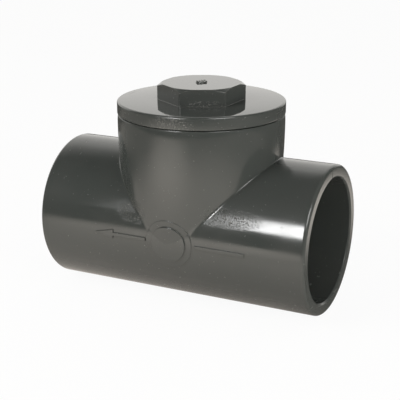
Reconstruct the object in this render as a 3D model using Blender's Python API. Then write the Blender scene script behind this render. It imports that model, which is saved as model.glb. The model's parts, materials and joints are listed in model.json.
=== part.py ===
# Inline swing check valve for a 63 mm PVC-U drain, seen from its bench frame:
# X runs along the pipe towards the inlet, Z runs up the chamber to the bonnet,
# and the origin is where the two axes cross.

import math

import bmesh
import bpy
from mathutils import Matrix, Vector

MM = 0.001
GAP = 0.3 * MM              # clearance kept between pieces that touch or nest

# Run and sockets
PIPE_DIAMETER = 63.0 * MM
SOCKET_SLIP = 0.15 * MM     # radial room for the pipe at the socket's mouth
SOCKET_TAPER = 0.25 * MM    # how much the radius closes down to the stop
SOCKET_DEPTH = 38.0 * MM
SOCKET_WALL = 6.35 * MM
MOUTH_CHAMFER = 0.8 * MM
INLET_LAYING_LENGTH = 33.0 * MM     # from the chamber's axis to the pipe stop
OUTLET_LAYING_LENGTH = 37.0 * MM
END_ROUND = 1.75 * MM
PASSAGE_WALL = 6.3 * MM
OUTLET_LEDGE = 3.7 * MM     # how far the outlet's pipe stop stands into the passage
OUTLET_WEB = 3.0 * MM
NECK_CHAMFER = 0.8 * MM

# Chamber
DRUM_OVER_RUN = 0.4 * MM    # how far the drum stands outside the run at its axis
DRUM_FLARE = 4.0 * MM       # from the drum's base radius to its radius at the mouth
DRUM_BEND = 2.0             # 1 would be a straight cone, more flares nearer the base
DRUM_STEPS = 7
DRUM_CAP_HEIGHT = 30.0 * MM
CHAMBER_BASE_WALL = 3.7 * MM
CHAMBER_WALL = 6.8 * MM
CHAMBER_TAPER_HEIGHT = 33.0 * MM
MOUTH_WALL = 6.4 * MM
LEAD_IN = 1.0 * MM
RIM_ROUND = 0.4 * MM
THREAD_LENGTH = 16.0 * MM

# Badge and arrow on the front
BADGE_RADIUS = 12.3 * MM
BADGE_RAISE = 0.4 * MM
BADGE_FIELD_RADIUS = 8.9 * MM
BADGE_FIELD_SINK = 0.35 * MM
BADGE_HEIGHT = -0.4 * MM
BADGE_OFFSET = 0.4 * MM
ARROW_RAISE = 0.4 * MM
ARROW_WIDTH = 1.7 * MM
ARROW_HEAD_WIDTH = 4.8 * MM
ARROW_HEAD_LENGTH = 10.0 * MM
ARROW_SHAFT_LENGTH = 18.6 * MM
ARROW_TAIL_LENGTH = 26.0 * MM
ARROW_TAIL_START = 14.9 * MM

# Seat
SEAT_TILT = math.radians(5.0)
SEAT_SET_BACK = 11.0 * MM   # least room from the inlet's pipe stop to the seat face
SHELF_ROOM = 13.6 * MM      # least room from the seat face to the chamber wall
SEAT_RING_WIDTH = 5.5 * MM
SEAT_RING_THICKNESS = 4.0 * MM
SEAT_EDGE_ROOM = 2.7 * MM
LAND_INSET = 0.8 * MM
LAND_WIDTH = 2.0 * MM
LAND_RAISE = 1.2 * MM
SEAT_O_RING_SECTION = 1.7 * MM
NECK_STEP = 2.0 * MM

# Flap
SEAL_OVERLAP = 0.6 * MM
SEAL_THICKNESS = 3.0 * MM
SEAL_CHAMFER = 0.6 * MM
DISC_THICKNESS = 4.0 * MM
DISC_RIB_HEIGHT = 1.6 * MM
DISC_RIB_WIDTH = 2.0 * MM
DISC_RIBS = 10
DISC_RIM_WIDTH = 2.5 * MM
DISC_RIM_CHAMFER = 0.8 * MM
RETAINER_ROOM = 4.5 * MM    # between the retainer and the seat's bore
RETAINER_THICKNESS = 2.0 * MM
RETAINER_CHAMFER = 1.0 * MM
BOLT_RADIUS = 3.0 * MM
BOLT_FLATS = 10.0 * MM
BOLT_HEAD_HEIGHT = 4.0 * MM
BOLT_FACE_INSET = 0.25 * MM # chamfer circle inside the flats of the bolt's head and nut
NUT_HEIGHT = 5.0 * MM
WASHER_RADIUS = 6.0 * MM
WASHER_THICKNESS = 1.2 * MM
SPRING_WASHER_WIDTH = 2.2 * MM
SPRING_WASHER_THICKNESS = 1.4 * MM
SPRING_WASHER_RISE = 0.4 * MM
SPRING_WASHER_SWEEP = math.radians(345.0)
BOLT_END = 1.0 * MM
ARM_BOSS_RADIUS = 9.0 * MM
ARM_BOSS_RISE = 0.4 * MM    # how far the boss stands out from the web on either side
ARM_THICKNESS = 4.6 * MM
ARM_WIDTH = 10.0 * MM
ARM_RIB_WIDTH = 3.4 * MM
ARM_RIB_HEIGHT = 3.0 * MM

# Hinge
PIN_RADIUS = 2.0 * MM
PIN_GROOVE_DEPTH = 0.4 * MM
PIN_END = 0.9 * MM
PIN_BEHIND_SEAT = 6.0 * MM
BUSH_WALL = 1.0 * MM
BUSH_FLANGE_WALL = 0.9 * MM
BUSH_FLANGE = 0.8 * MM
HUB_WALL = 2.0 * MM
HUB_LENGTH = 13.0 * MM
HUB_TO_FLAP = 2.0 * MM
CLIP_THICKNESS = 0.8 * MM
CLIP_WIDTH = 1.9 * MM
CLIP_OPENING = math.radians(62.0)

# Bracket on the shelf above the seat
SHELF_WALL = 2.3 * MM
PLATE_THICKNESS = 3.5 * MM
PLATE_BACK_ROOM = 1.2 * MM
PLATE_MARGIN = 3.0 * MM
EAR_THICKNESS = 3.0 * MM
EAR_NOSE_RADIUS = 4.8 * MM
SCREW_RADIUS = 1.4 * MM
SCREW_DEPTH = 5.0 * MM
SCREW_SET_BACK = 3.6 * MM   # from the shelf's front edge to the screws
SCREW_FROM_EAR = 1.9 * MM
SCREW_HEAD_RADIUS = 2.4 * MM
SCREW_CROWN_RADIUS = 1.7 * MM
SCREW_HEAD_HEIGHT = 2.0 * MM
SCREW_DRIVE_FLATS = 2.2 * MM
SCREW_DRIVE_DEPTH = 1.1 * MM
SCREW_WASHER_RADIUS = 2.8 * MM
SCREW_WASHER_THICKNESS = 0.8 * MM
HEAD_ROOM = 0.8 * MM

# Bonnet
FLANGE_THICKNESS = 6.5 * MM
FLANGE_OVER_DRUM = 0.1 * MM
FLANGE_TOP_ROUND = 1.0 * MM
HEX_FLATS = 38.8 * MM
HEX_HEIGHT = 8.4 * MM
HEX_TURN = math.radians(27.3)
HEX_CHAMFER = math.radians(32.0)
HEX_FACE_RADIUS = 19.8 * MM
THREAD_CLEARANCE = 0.4 * MM
SPIGOT_WALL = 6.1 * MM
SPIGOT_CHAMFER = 1.0 * MM
BONNET_PLATE = 5.0 * MM
HEX_CORE_RADIUS = 13.0 * MM
HEX_CORE_ROOF = 5.0 * MM
BONNET_RIBS = 6
BONNET_RIB_WIDTH = 2.4 * MM
BONNET_RIB_HEIGHT = 6.0 * MM
BONNET_O_RING_SECTION = 2.8 * MM
GATE_MARK_RADIUS = 3.1 * MM
GATE_MARK_HEIGHT = 0.9 * MM

# Facets round the turned forms, and round the section of a rubber ring
LARGE_STEPS = 64
MEDIUM_STEPS = 34
SMALL_STEPS = 24
SECTION_SIDES = 8
OVERSHOOT = 12.0 * MM       # how far a cutter runs past the form it cuts

# Places and sizes that follow from those above
SOCKET_RADIUS = PIPE_DIAMETER / 2 + SOCKET_SLIP
RUN_RADIUS = SOCKET_RADIUS + SOCKET_WALL
INLET_STOP = INLET_LAYING_LENGTH
OUTLET_STOP = -OUTLET_LAYING_LENGTH
INLET_LENGTH = INLET_LAYING_LENGTH + SOCKET_DEPTH
OUTLET_LENGTH = OUTLET_LAYING_LENGTH + SOCKET_DEPTH
PASSAGE_RADIUS = RUN_RADIUS - PASSAGE_WALL
OUTLET_NECK_RADIUS = PASSAGE_RADIUS - OUTLET_LEDGE
DRUM_BASE_RADIUS = RUN_RADIUS + DRUM_OVER_RUN
DRUM_TOP_RADIUS = DRUM_BASE_RADIUS + DRUM_FLARE
CHAMBER_RADIUS = DRUM_TOP_RADIUS - CHAMBER_WALL
MOUTH_RADIUS = DRUM_TOP_RADIUS - MOUTH_WALL
SEAT_X = min(INLET_STOP - SEAT_SET_BACK, CHAMBER_RADIUS - SHELF_ROOM)
SEAT_RING_RADIUS = PASSAGE_RADIUS - SEAT_EDGE_ROOM
SEAT_BORE_RADIUS = SEAT_RING_RADIUS - SEAT_RING_WIDTH
LAND_OUTER = SEAT_BORE_RADIUS + LAND_INSET + LAND_WIDTH
SEAL_RADIUS = LAND_OUTER + SEAL_OVERLAP
RETAINER_RADIUS = SEAT_BORE_RADIUS - RETAINER_ROOM
HUB_BORE = PIN_RADIUS + GAP + BUSH_WALL + GAP
HUB_RADIUS = HUB_BORE + HUB_WALL
PIN_DROP = SEAL_RADIUS + HUB_TO_FLAP + HUB_RADIUS    # pin axis to flap centre
SHELF_HEIGHT = PASSAGE_RADIUS + SHELF_WALL
PLATE_BOTTOM = SHELF_HEIGHT + GAP
PLATE_TOP = PLATE_BOTTOM + PLATE_THICKNESS
SCREW_HEAD_BOTTOM = PLATE_TOP + GAP + SCREW_WASHER_THICKNESS + GAP
SPIGOT_BOTTOM = SCREW_HEAD_BOTTOM + SCREW_HEAD_HEIGHT + HEAD_ROOM
MOUTH_TOP = SPIGOT_BOTTOM + THREAD_LENGTH
FLANGE_BOTTOM = MOUTH_TOP + GAP
FLANGE_TOP = FLANGE_BOTTOM + FLANGE_THICKNESS
SPIGOT_RADIUS = MOUTH_RADIUS - THREAD_CLEARANCE
SPIGOT_BORE = SPIGOT_RADIUS - SPIGOT_WALL
EAR_INNER = HUB_LENGTH / 2 + GAP + BUSH_FLANGE + GAP
EAR_OUTER = EAR_INNER + EAR_THICKNESS
CLIP_Y = EAR_OUTER + GAP

# Positions along the flap's bolt, from the seat face, positive into the chamber
SEAL_FACE = LAND_RAISE + GAP
SEAL_BACK = SEAL_FACE + SEAL_THICKNESS
DISC_FACE = SEAL_BACK + GAP
DISC_BACK = DISC_FACE + DISC_THICKNESS
ARM_FACE = DISC_BACK + GAP
ARM_BACK = ARM_FACE + ARM_THICKNESS
WASHER_FACE = ARM_BACK + GAP
SPRING_FACE = WASHER_FACE + WASHER_THICKNESS + GAP
NUT_FACE = SPRING_FACE + SPRING_WASHER_THICKNESS + SPRING_WASHER_RISE + GAP

# The seat goes as far out as the pipe stop and the bracket's shelf allow, and it
# leans back so that the flap's own weight closes it
TILT = Matrix.Rotation(SEAT_TILT, 4, "Y")
SEAT_CENTRE = Vector((SEAT_X, 0, 0))
PIN_CENTRE = SEAT_CENTRE + TILT @ Vector((-PIN_BEHIND_SEAT, 0, PIN_DROP))
SHELF_FRONT = SEAT_X + SHELF_HEIGHT * math.tan(SEAT_TILT)
SCREW_X = SHELF_FRONT + SCREW_SET_BACK
SCREW_Y = EAR_OUTER + SCREW_FROM_EAR


def clear_scene():
    for old in list(bpy.data.objects):
        bpy.data.objects.remove(old, do_unlink=True)


def make_material(name, colour, roughness, metallic=0.0):
    mat = bpy.data.materials.new(name)
    mat.use_nodes = True
    shader = mat.node_tree.nodes["Principled BSDF"]
    shader.inputs["Base Color"].default_value = (*colour, 1.0)
    shader.inputs["Roughness"].default_value = roughness
    shader.inputs["Metallic"].default_value = metallic
    return mat


def finish_mesh(name, bm, mat):
    bmesh.ops.remove_doubles(bm, verts=bm.verts, dist=1e-7)
    bmesh.ops.recalc_face_normals(bm, faces=bm.faces)
    mesh = bpy.data.meshes.new(name)
    bm.to_mesh(mesh)
    bm.free()
    mesh.shade_smooth()
    mesh.set_sharp_from_angle(angle=math.radians(32))
    if mat:
        mesh.materials.append(mat)
    obj = bpy.data.objects.new(name, mesh)
    bpy.context.scene.collection.objects.link(obj)
    return obj


def axis_turn(axis):
    # Turns a form made round Z so that its height runs along the given axis
    if axis == "X":
        return Matrix.Rotation(math.radians(90), 4, "Y")
    if axis == "Y":
        return Matrix.Rotation(math.radians(-90), 4, "X")
    return Matrix.Identity(4)


def turned(name, outline, steps, mat=None, axis="Z"):
    # Spins a closed outline of (radius, height) points a full turn
    bm = bmesh.new()
    ring = [bm.verts.new((radius, 0, height)) for radius, height in outline]
    edges = [bm.edges.new((ring[i - 1], ring[i])) for i in range(len(ring))]
    on_axis = [e for e in edges if max(v.co.x for v in e.verts) < 1e-9]
    for edge in on_axis:
        bm.edges.remove(edge)
        edges.remove(edge)
    bmesh.ops.spin(bm, geom=ring + edges, axis=(0, 0, 1), cent=(0, 0, 0),
                   angle=math.tau, steps=steps, use_merge=True)
    bmesh.ops.transform(bm, matrix=axis_turn(axis), verts=bm.verts)
    return finish_mesh(name, bm, mat)


def slab(name, outline, low, high, mat=None, axis="Z"):
    # Extrudes a closed outline between two heights along the given axis
    bm = bmesh.new()
    if axis == "Y":
        rim = [bm.verts.new((x, low, z)) for x, z in outline]
        travel = Vector((0, high - low, 0))
    else:
        rim = [bm.verts.new((x, y, low)) for x, y in outline]
        travel = Vector((0, 0, high - low))
    face = bm.faces.new(rim)
    grown = bmesh.ops.extrude_face_region(bm, geom=[face])
    moved = [v for v in grown["geom"] if isinstance(v, bmesh.types.BMVert)]
    bmesh.ops.translate(bm, vec=travel, verts=moved)
    return finish_mesh(name, bm, mat)


def arc(cx, cy, radius, start, end, count):
    step = (end - start) / count
    return [(cx + radius * math.cos(start + step * i), cy + radius * math.sin(start + step * i))
            for i in range(count + 1)]


def disc_outline(radius, low, high):
    return [(0, low), (radius, low), (radius, high), (0, high)]


def ring_outline(inner, outer, low, high):
    return [(inner, low), (outer, low), (outer, high), (inner, high)]


def round_section(radius, height, half):
    # The round section of a rubber ring, as a polygon
    return arc(radius, height, half, 0, math.tau * (1 - 1 / SECTION_SIDES), SECTION_SIDES - 1)


def apply_shape(target, tool, operation):
    mod = target.modifiers.new(tool.name, "BOOLEAN")
    mod.operation = operation
    mod.solver = "EXACT"
    mod.object = tool
    tool.hide_render = True
    tool.display_type = "WIRE"


def cut(target, *tools):
    for tool in tools:
        apply_shape(target, tool, "DIFFERENCE")


def fuse(target, *tools):
    for tool in tools:
        apply_shape(target, tool, "UNION")


def keep_common(target, tool):
    apply_shape(target, tool, "INTERSECT")


def mount_on(parent, *pieces):
    for piece in pieces:
        piece.parent = parent


def make_empty(name, location):
    empty = bpy.data.objects.new(name, None)
    empty.location = location
    empty.rotation_euler = (0, SEAT_TILT, 0)
    bpy.context.scene.collection.objects.link(empty)
    return empty


def drum_radius(height):
    # The drum flares from its base and comes upright at its mouth
    left = 1 - height / MOUTH_TOP
    return DRUM_BASE_RADIUS + DRUM_FLARE * (1 - left ** DRUM_BEND)


def cap_outline(radius, depth, count):
    # A quarter ellipse that closes a round form below the run's axis
    points = []
    for i in range(count):
        angle = math.radians(-90 + 90 * i / count)
        points.append((radius * math.cos(angle), depth * math.sin(angle)))
    points[0] = (0, -depth)
    return points


def drum_outline(offset, top):
    points = cap_outline(DRUM_BASE_RADIUS + offset, DRUM_CAP_HEIGHT + offset, 6)
    for i in range(DRUM_STEPS):
        height = (top - RIM_ROUND) * i / DRUM_STEPS
        points.append((drum_radius(height) + offset, height))
    edge = drum_radius(top) + offset
    return points + [(edge, top - RIM_ROUND), (edge - RIM_ROUND, top), (0, top)]


def run_outline():
    # Half section of the run as (radius, X), rounded at both ends
    inlet = arc(RUN_RADIUS - END_ROUND, INLET_LENGTH - END_ROUND, END_ROUND, 0, math.pi / 2, 3)
    outlet = arc(RUN_RADIUS - END_ROUND, END_ROUND - OUTLET_LENGTH, END_ROUND, -math.pi / 2, 0, 3)
    return [(0, -OUTLET_LENGTH)] + outlet + inlet + [(0, INLET_LENGTH)]


def socket_outline(neck, start, stop, mouth):
    # Neck, then a tapered socket from the pipe stop to a chamfered mouth, run past the end
    way = 1 if mouth > stop else -1
    over = mouth + way * END_ROUND
    root = SOCKET_RADIUS - SOCKET_TAPER
    flare = SOCKET_RADIUS + MOUTH_CHAMFER
    return [(0, start), (neck, start), (neck, stop), (root, stop),
            (SOCKET_RADIUS, mouth - way * MOUTH_CHAMFER), (flare, mouth), (flare, over), (0, over)]


def make_badge_and_arrow(body):
    # Raised badge with a sunk bare field, and a raised flow arrow either side of it
    skin = turned("skin_run", disc_outline(RUN_RADIUS + BADGE_RAISE, -INLET_STOP, INLET_STOP),
                  LARGE_STEPS, axis="X")
    fuse(skin, turned("skin_drum", drum_outline(BADGE_RAISE, MOUTH_TOP), LARGE_STEPS))
    floor = turned("floor_run", disc_outline(RUN_RADIUS - BADGE_FIELD_SINK, -INLET_STOP, INLET_STOP),
                   LARGE_STEPS, axis="X")
    fuse(floor, turned("floor_drum", drum_outline(-BADGE_FIELD_SINK, MOUTH_TOP), LARGE_STEPS))
    near = PASSAGE_RADIUS + PASSAGE_WALL / 3
    far = RUN_RADIUS + OVERSHOOT
    pad = turned("badge_pad", disc_outline(BADGE_RADIUS, -far, -near), MEDIUM_STEPS, axis="Y")
    field = turned("badge_field", disc_outline(BADGE_FIELD_RADIUS, -far, -near), MEDIUM_STEPS, axis="Y")
    for piece in (pad, field):
        piece.location = (BADGE_OFFSET, 0, BADGE_HEIGHT)
    keep_common(pad, skin)
    cut(field, floor)
    fuse(body, pad)
    cut(body, field)

    arrow_skin = turned("arrow_skin", disc_outline(RUN_RADIUS + ARROW_RAISE, -OUTLET_LENGTH, INLET_LENGTH),
                        LARGE_STEPS, axis="X")
    shaft_start = -(BADGE_RADIUS + GAP)
    head_start = shaft_start - ARROW_SHAFT_LENGTH
    half = ARROW_WIDTH / 2
    wide = ARROW_HEAD_WIDTH / 2
    arrow = slab("arrow_head", [(shaft_start, -half), (shaft_start, half), (head_start, half),
                                (head_start, wide), (head_start - ARROW_HEAD_LENGTH, 0),
                                (head_start, -wide), (head_start, -half)], -far, -near, axis="Y")
    tail_end = ARROW_TAIL_START + ARROW_TAIL_LENGTH
    tail = slab("arrow_tail", [(ARROW_TAIL_START, -half), (tail_end, -half), (tail_end, half),
                               (ARROW_TAIL_START, half)], -far, -near, axis="Y")
    for piece in (arrow, tail):
        keep_common(piece, arrow_skin)
        fuse(body, piece)


def make_chamber_space():
    # Round passage and drum space, closed towards the inlet by the leaning partition
    web = OUTLET_STOP + OUTLET_WEB
    passage = [(0, OUTLET_STOP + OUTLET_WEB / 3), (OUTLET_NECK_RADIUS, OUTLET_STOP + OUTLET_WEB / 3),
               (OUTLET_NECK_RADIUS, web - NECK_CHAMFER), (OUTLET_NECK_RADIUS + NECK_CHAMFER, web),
               (PASSAGE_RADIUS, web), (PASSAGE_RADIUS, INLET_STOP), (0, INLET_STOP)]
    space = turned("chamber_space", passage, LARGE_STEPS, axis="X")
    base = DRUM_BASE_RADIUS - CHAMBER_BASE_WALL
    drum = cap_outline(base, DRUM_CAP_HEIGHT, 5)
    drum += [(base, 0), (CHAMBER_RADIUS, CHAMBER_TAPER_HEIGHT), (CHAMBER_RADIUS, SPIGOT_BOTTOM),
             (MOUTH_RADIUS, SPIGOT_BOTTOM + MOUTH_RADIUS - CHAMBER_RADIUS),
             (MOUTH_RADIUS, MOUTH_TOP - LEAD_IN), (MOUTH_RADIUS + LEAD_IN, MOUTH_TOP),
             (MOUTH_RADIUS + LEAD_IN, FLANGE_TOP), (0, FLANGE_TOP)]
    fuse(space, turned("drum_space", drum, LARGE_STEPS))
    low = -RUN_RADIUS - OVERSHOOT
    foot = SEAT_X + low * math.tan(SEAT_TILT)
    back = INLET_LENGTH
    side = RUN_RADIUS + OVERSHOOT
    cut(space, slab("partition", [(foot, low), (back, low), (back, SHELF_HEIGHT),
                                  (SHELF_FRONT, SHELF_HEIGHT)], -side, side, axis="Y"))
    return space


def make_body(mat):
    body = turned("valve_body", run_outline(), LARGE_STEPS, mat, axis="X")
    fuse(body, turned("drum", drum_outline(0, MOUTH_TOP), LARGE_STEPS))
    make_badge_and_arrow(body)
    inlet = socket_outline(SEAT_BORE_RADIUS + NECK_STEP, SEAT_X - LAND_RAISE, INLET_STOP, INLET_LENGTH)
    outlet = socket_outline(OUTLET_NECK_RADIUS, OUTLET_STOP + OUTLET_WEB / 2, OUTLET_STOP, -OUTLET_LENGTH)
    cut(body, turned("inlet_bore", inlet, LARGE_STEPS, axis="X"),
        turned("outlet_bore", outlet, LARGE_STEPS, axis="X"), make_chamber_space())
    seat_pocket = turned("seat_pocket", disc_outline(SEAT_RING_RADIUS + GAP, -OUTLET_WEB,
                                                     SEAT_RING_THICKNESS + GAP), LARGE_STEPS, axis="X")
    seat_pocket.location = SEAT_CENTRE
    seat_pocket.rotation_euler = (0, SEAT_TILT, 0)
    cut(body, seat_pocket)
    for side in (-1, 1):
        pilot = turned("pilot_hole", disc_outline(SCREW_RADIUS + GAP, SHELF_HEIGHT - SCREW_DEPTH - GAP,
                                                  PLATE_TOP), SMALL_STEPS // 2)
        pilot.location = (SCREW_X, side * SCREW_Y, 0)
        cut(body, pilot)
    return body


def make_seat(frame, plastic, rubber):
    rebate = SEAT_O_RING_SECTION + 2 * GAP
    back = SEAT_RING_THICKNESS
    step = back - rebate + GAP
    inner_land = LAND_OUTER - LAND_WIDTH
    outline = [(SEAT_BORE_RADIUS, LAND_INSET / 2), (SEAT_BORE_RADIUS + LAND_INSET / 2, 0),
               (inner_land, 0), (inner_land + GAP, -LAND_RAISE), (LAND_OUTER - GAP, -LAND_RAISE),
               (LAND_OUTER, 0), (SEAT_RING_RADIUS, 0), (SEAT_RING_RADIUS, step),
               (SEAT_RING_RADIUS - rebate, step), (SEAT_RING_RADIUS - rebate, back),
               (SEAT_BORE_RADIUS, back)]
    ring = turned("seat_ring", outline, MEDIUM_STEPS, plastic, axis="X")
    half = SEAT_O_RING_SECTION / 2
    o_ring = turned("seat_o_ring", round_section(SEAT_RING_RADIUS - rebate + GAP + half, back - half, half),
                    MEDIUM_STEPS, rubber, axis="X")
    mount_on(frame, ring, o_ring)


def ear_outline():
    # Side view of one ear in X and Z: a round nose at the pin, drawn back to the plate
    px, pz = PIN_CENTRE.x, PIN_CENTRE.z
    nose = arc(px, pz, EAR_NOSE_RADIUS, math.radians(75), math.radians(300), 10)
    back = SHELF_FRONT + PLATE_THICKNESS
    return nose + [(SHELF_FRONT - GAP, PLATE_BOTTOM), (back, PLATE_BOTTOM), (back, PLATE_TOP)]


def make_bracket(steel):
    # A plate shaped to the chamber's wall, with two ears reaching out to the pin
    reach = CHAMBER_RADIUS - PLATE_BACK_ROOM
    half = SCREW_Y + PLATE_MARGIN
    swing = math.asin(half / reach)
    front = SHELF_FRONT - GAP
    notch = PIN_CENTRE.x + HUB_RADIUS + GAP
    inner = EAR_INNER
    plate = [(front, half)] + [(front, inner), (notch, inner), (notch, -inner), (front, -inner)] \
        + [(front, -half)] + arc(0, 0, reach, -swing, swing, 10)
    bracket = slab("hinge_bracket", plate, PLATE_BOTTOM, PLATE_TOP, steel)
    for side, word in ((-1, "front"), (1, "back")):
        low, high = sorted((side * EAR_INNER, side * EAR_OUTER))
        fuse(bracket, slab("ear_" + word, ear_outline(), low, high, axis="Y"))
        hole = turned("screw_hole", disc_outline(SCREW_RADIUS + GAP, SHELF_HEIGHT - SCREW_DEPTH,
                                                 SPIGOT_BOTTOM), SMALL_STEPS // 2)
        hole.location = (SCREW_X, side * SCREW_Y, 0)
        cut(bracket, hole)
    pin_hole = turned("pin_hole", disc_outline(PIN_RADIUS + GAP, -SCREW_Y, SCREW_Y), SMALL_STEPS, axis="Y")
    pin_hole.location = PIN_CENTRE
    cut(bracket, pin_hole)
    return bracket


def make_bracket_fasteners(steel):
    # Two pan-head screws with a hexagon socket, each on its own flat washer
    top = SCREW_HEAD_BOTTOM + SCREW_HEAD_HEIGHT
    tip = SHELF_HEIGHT - SCREW_DEPTH
    outline = [(0, tip), (SCREW_RADIUS, tip + SCREW_RADIUS), (SCREW_RADIUS, SCREW_HEAD_BOTTOM),
               (SCREW_HEAD_RADIUS, SCREW_HEAD_BOTTOM), (SCREW_HEAD_RADIUS, top - SCREW_HEAD_HEIGHT / 3),
               (SCREW_CROWN_RADIUS, top), (0, top)]
    for word, side in (("front", -1), ("back", 1)):
        screw = turned("bracket_screw_" + word, outline, SMALL_STEPS // 2, steel)
        washer = turned("bracket_washer_" + word,
                        ring_outline(SCREW_RADIUS + GAP, SCREW_WASHER_RADIUS, PLATE_TOP + GAP,
                                     SCREW_HEAD_BOTTOM - GAP), SMALL_STEPS // 2, steel)
        drive = hexagon("screw_drive", SCREW_DRIVE_FLATS, top - SCREW_DRIVE_DEPTH, top + GAP)
        cut(screw, drive)
        for piece in (screw, washer, drive):
            piece.location = (SCREW_X, side * SCREW_Y, 0)


def hexagon(name, flats, low, high, mat=None, turn=0.0):
    corner = flats / 2 / math.cos(math.radians(30))
    rim = [(corner * math.cos(turn + math.tau * i / 6), corner * math.sin(turn + math.tau * i / 6))
           for i in range(6)]
    return slab(name, rim, low, high, mat)


def make_pin_and_clips(steel):
    half = CLIP_Y + CLIP_THICKNESS + GAP + PIN_END
    groove_low = CLIP_Y - GAP
    groove_high = CLIP_Y + CLIP_THICKNESS + GAP
    floor = PIN_RADIUS - PIN_GROOVE_DEPTH
    bevel = PIN_GROOVE_DEPTH
    side = [(PIN_RADIUS, groove_low), (floor, groove_low), (floor, groove_high),
            (PIN_RADIUS, groove_high), (PIN_RADIUS, half - bevel), (PIN_RADIUS - bevel, half)]
    mirrored = [(radius, -height) for radius, height in reversed(side)]
    pin = turned("hinge_pin", [(0, -half)] + mirrored + side + [(0, half)], SMALL_STEPS, steel, axis="Y")
    pin.location = PIN_CENTRE
    inner = floor + GAP
    outer = inner + CLIP_WIDTH
    start = math.pi / 2 + CLIP_OPENING / 2
    end = math.pi / 2 + math.tau - CLIP_OPENING / 2
    clip_outline = arc(0, 0, outer, start, end, 18) + arc(0, 0, inner, end, start, 18)
    for word, low in (("front", -CLIP_Y - CLIP_THICKNESS), ("back", CLIP_Y)):
        clip = slab("pin_circlip_" + word, clip_outline, low, low + CLIP_THICKNESS, steel, axis="Y")
        clip.location = PIN_CENTRE


def make_bushes(pivot, plastic):
    # Flanged bushes pressed into the arm's hub from either side
    bore = PIN_RADIUS + GAP
    barrel = bore + BUSH_WALL
    flange = barrel + BUSH_FLANGE_WALL
    inner = GAP
    face = HUB_LENGTH / 2 + GAP
    outline = [(bore, inner), (barrel, inner), (barrel, face), (flange, face),
               (flange, face + BUSH_FLANGE), (bore, face + BUSH_FLANGE)]
    for word, side in (("front", -1), ("back", 1)):
        points = [(radius, side * height) for radius, height in outline]
        mount_on(pivot, turned("arm_bush_" + word, points, SMALL_STEPS, plastic, axis="Y"))


def make_arm(pivot, plastic):
    # Hub on the pin, a web down the back of the flap, and a boss under the nut
    def back(distance):
        return PIN_BEHIND_SEAT - distance
    foot = -PIN_DROP
    face = back(ARM_FACE)
    rear = back(ARM_BACK)
    hub = HUB_RADIUS
    root = arc(0, 0, HUB_BORE + HUB_WALL / 2, math.radians(-90), math.radians(-200), 4)
    web_face = face - ARM_BOSS_RISE
    web_rear = rear + ARM_BOSS_RISE
    web = [(web_face, foot), (web_face, -hub)] + root + [(web_rear, -hub), (web_rear, foot)]
    half = ARM_WIDTH / 2
    arm = turned("flap_arm", disc_outline(ARM_BOSS_RADIUS, rear, face), MEDIUM_STEPS // 2, plastic, axis="X")
    arm.data.transform(Matrix.Translation((0, 0, foot)))
    crest = rear - ARM_RIB_HEIGHT
    rib_foot = foot + ARM_BOSS_RADIUS + GAP
    rib = [(web_rear + GAP, rib_foot), (crest, rib_foot + ARM_RIB_HEIGHT),
           (crest, -hub - ARM_RIB_HEIGHT), (web_rear + GAP, -hub)]
    hub_barrel = turned("arm_hub", disc_outline(hub, -HUB_LENGTH / 2, HUB_LENGTH / 2), SMALL_STEPS, axis="Y")
    web_slab = slab("arm_web", web, -half, half, axis="Y")
    rib_slab = slab("arm_rib", rib, -ARM_RIB_WIDTH / 2, ARM_RIB_WIDTH / 2, axis="Y")
    bore = turned("arm_bore", disc_outline(HUB_BORE, -HUB_LENGTH, HUB_LENGTH), SMALL_STEPS, axis="Y")
    bolt_hole = turned("arm_bolt_hole", disc_outline(BOLT_RADIUS + GAP, rear - GAP, face + GAP),
                       SMALL_STEPS, axis="X")
    bolt_hole.data.transform(Matrix.Translation((0, 0, foot)))
    for tool in (hub_barrel, web_slab, rib_slab, bore, bolt_hole):
        mount_on(pivot, tool)
    fuse(arm, hub_barrel, web_slab, rib_slab)
    cut(arm, bore, bolt_hole)
    mount_on(pivot, arm)


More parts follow.
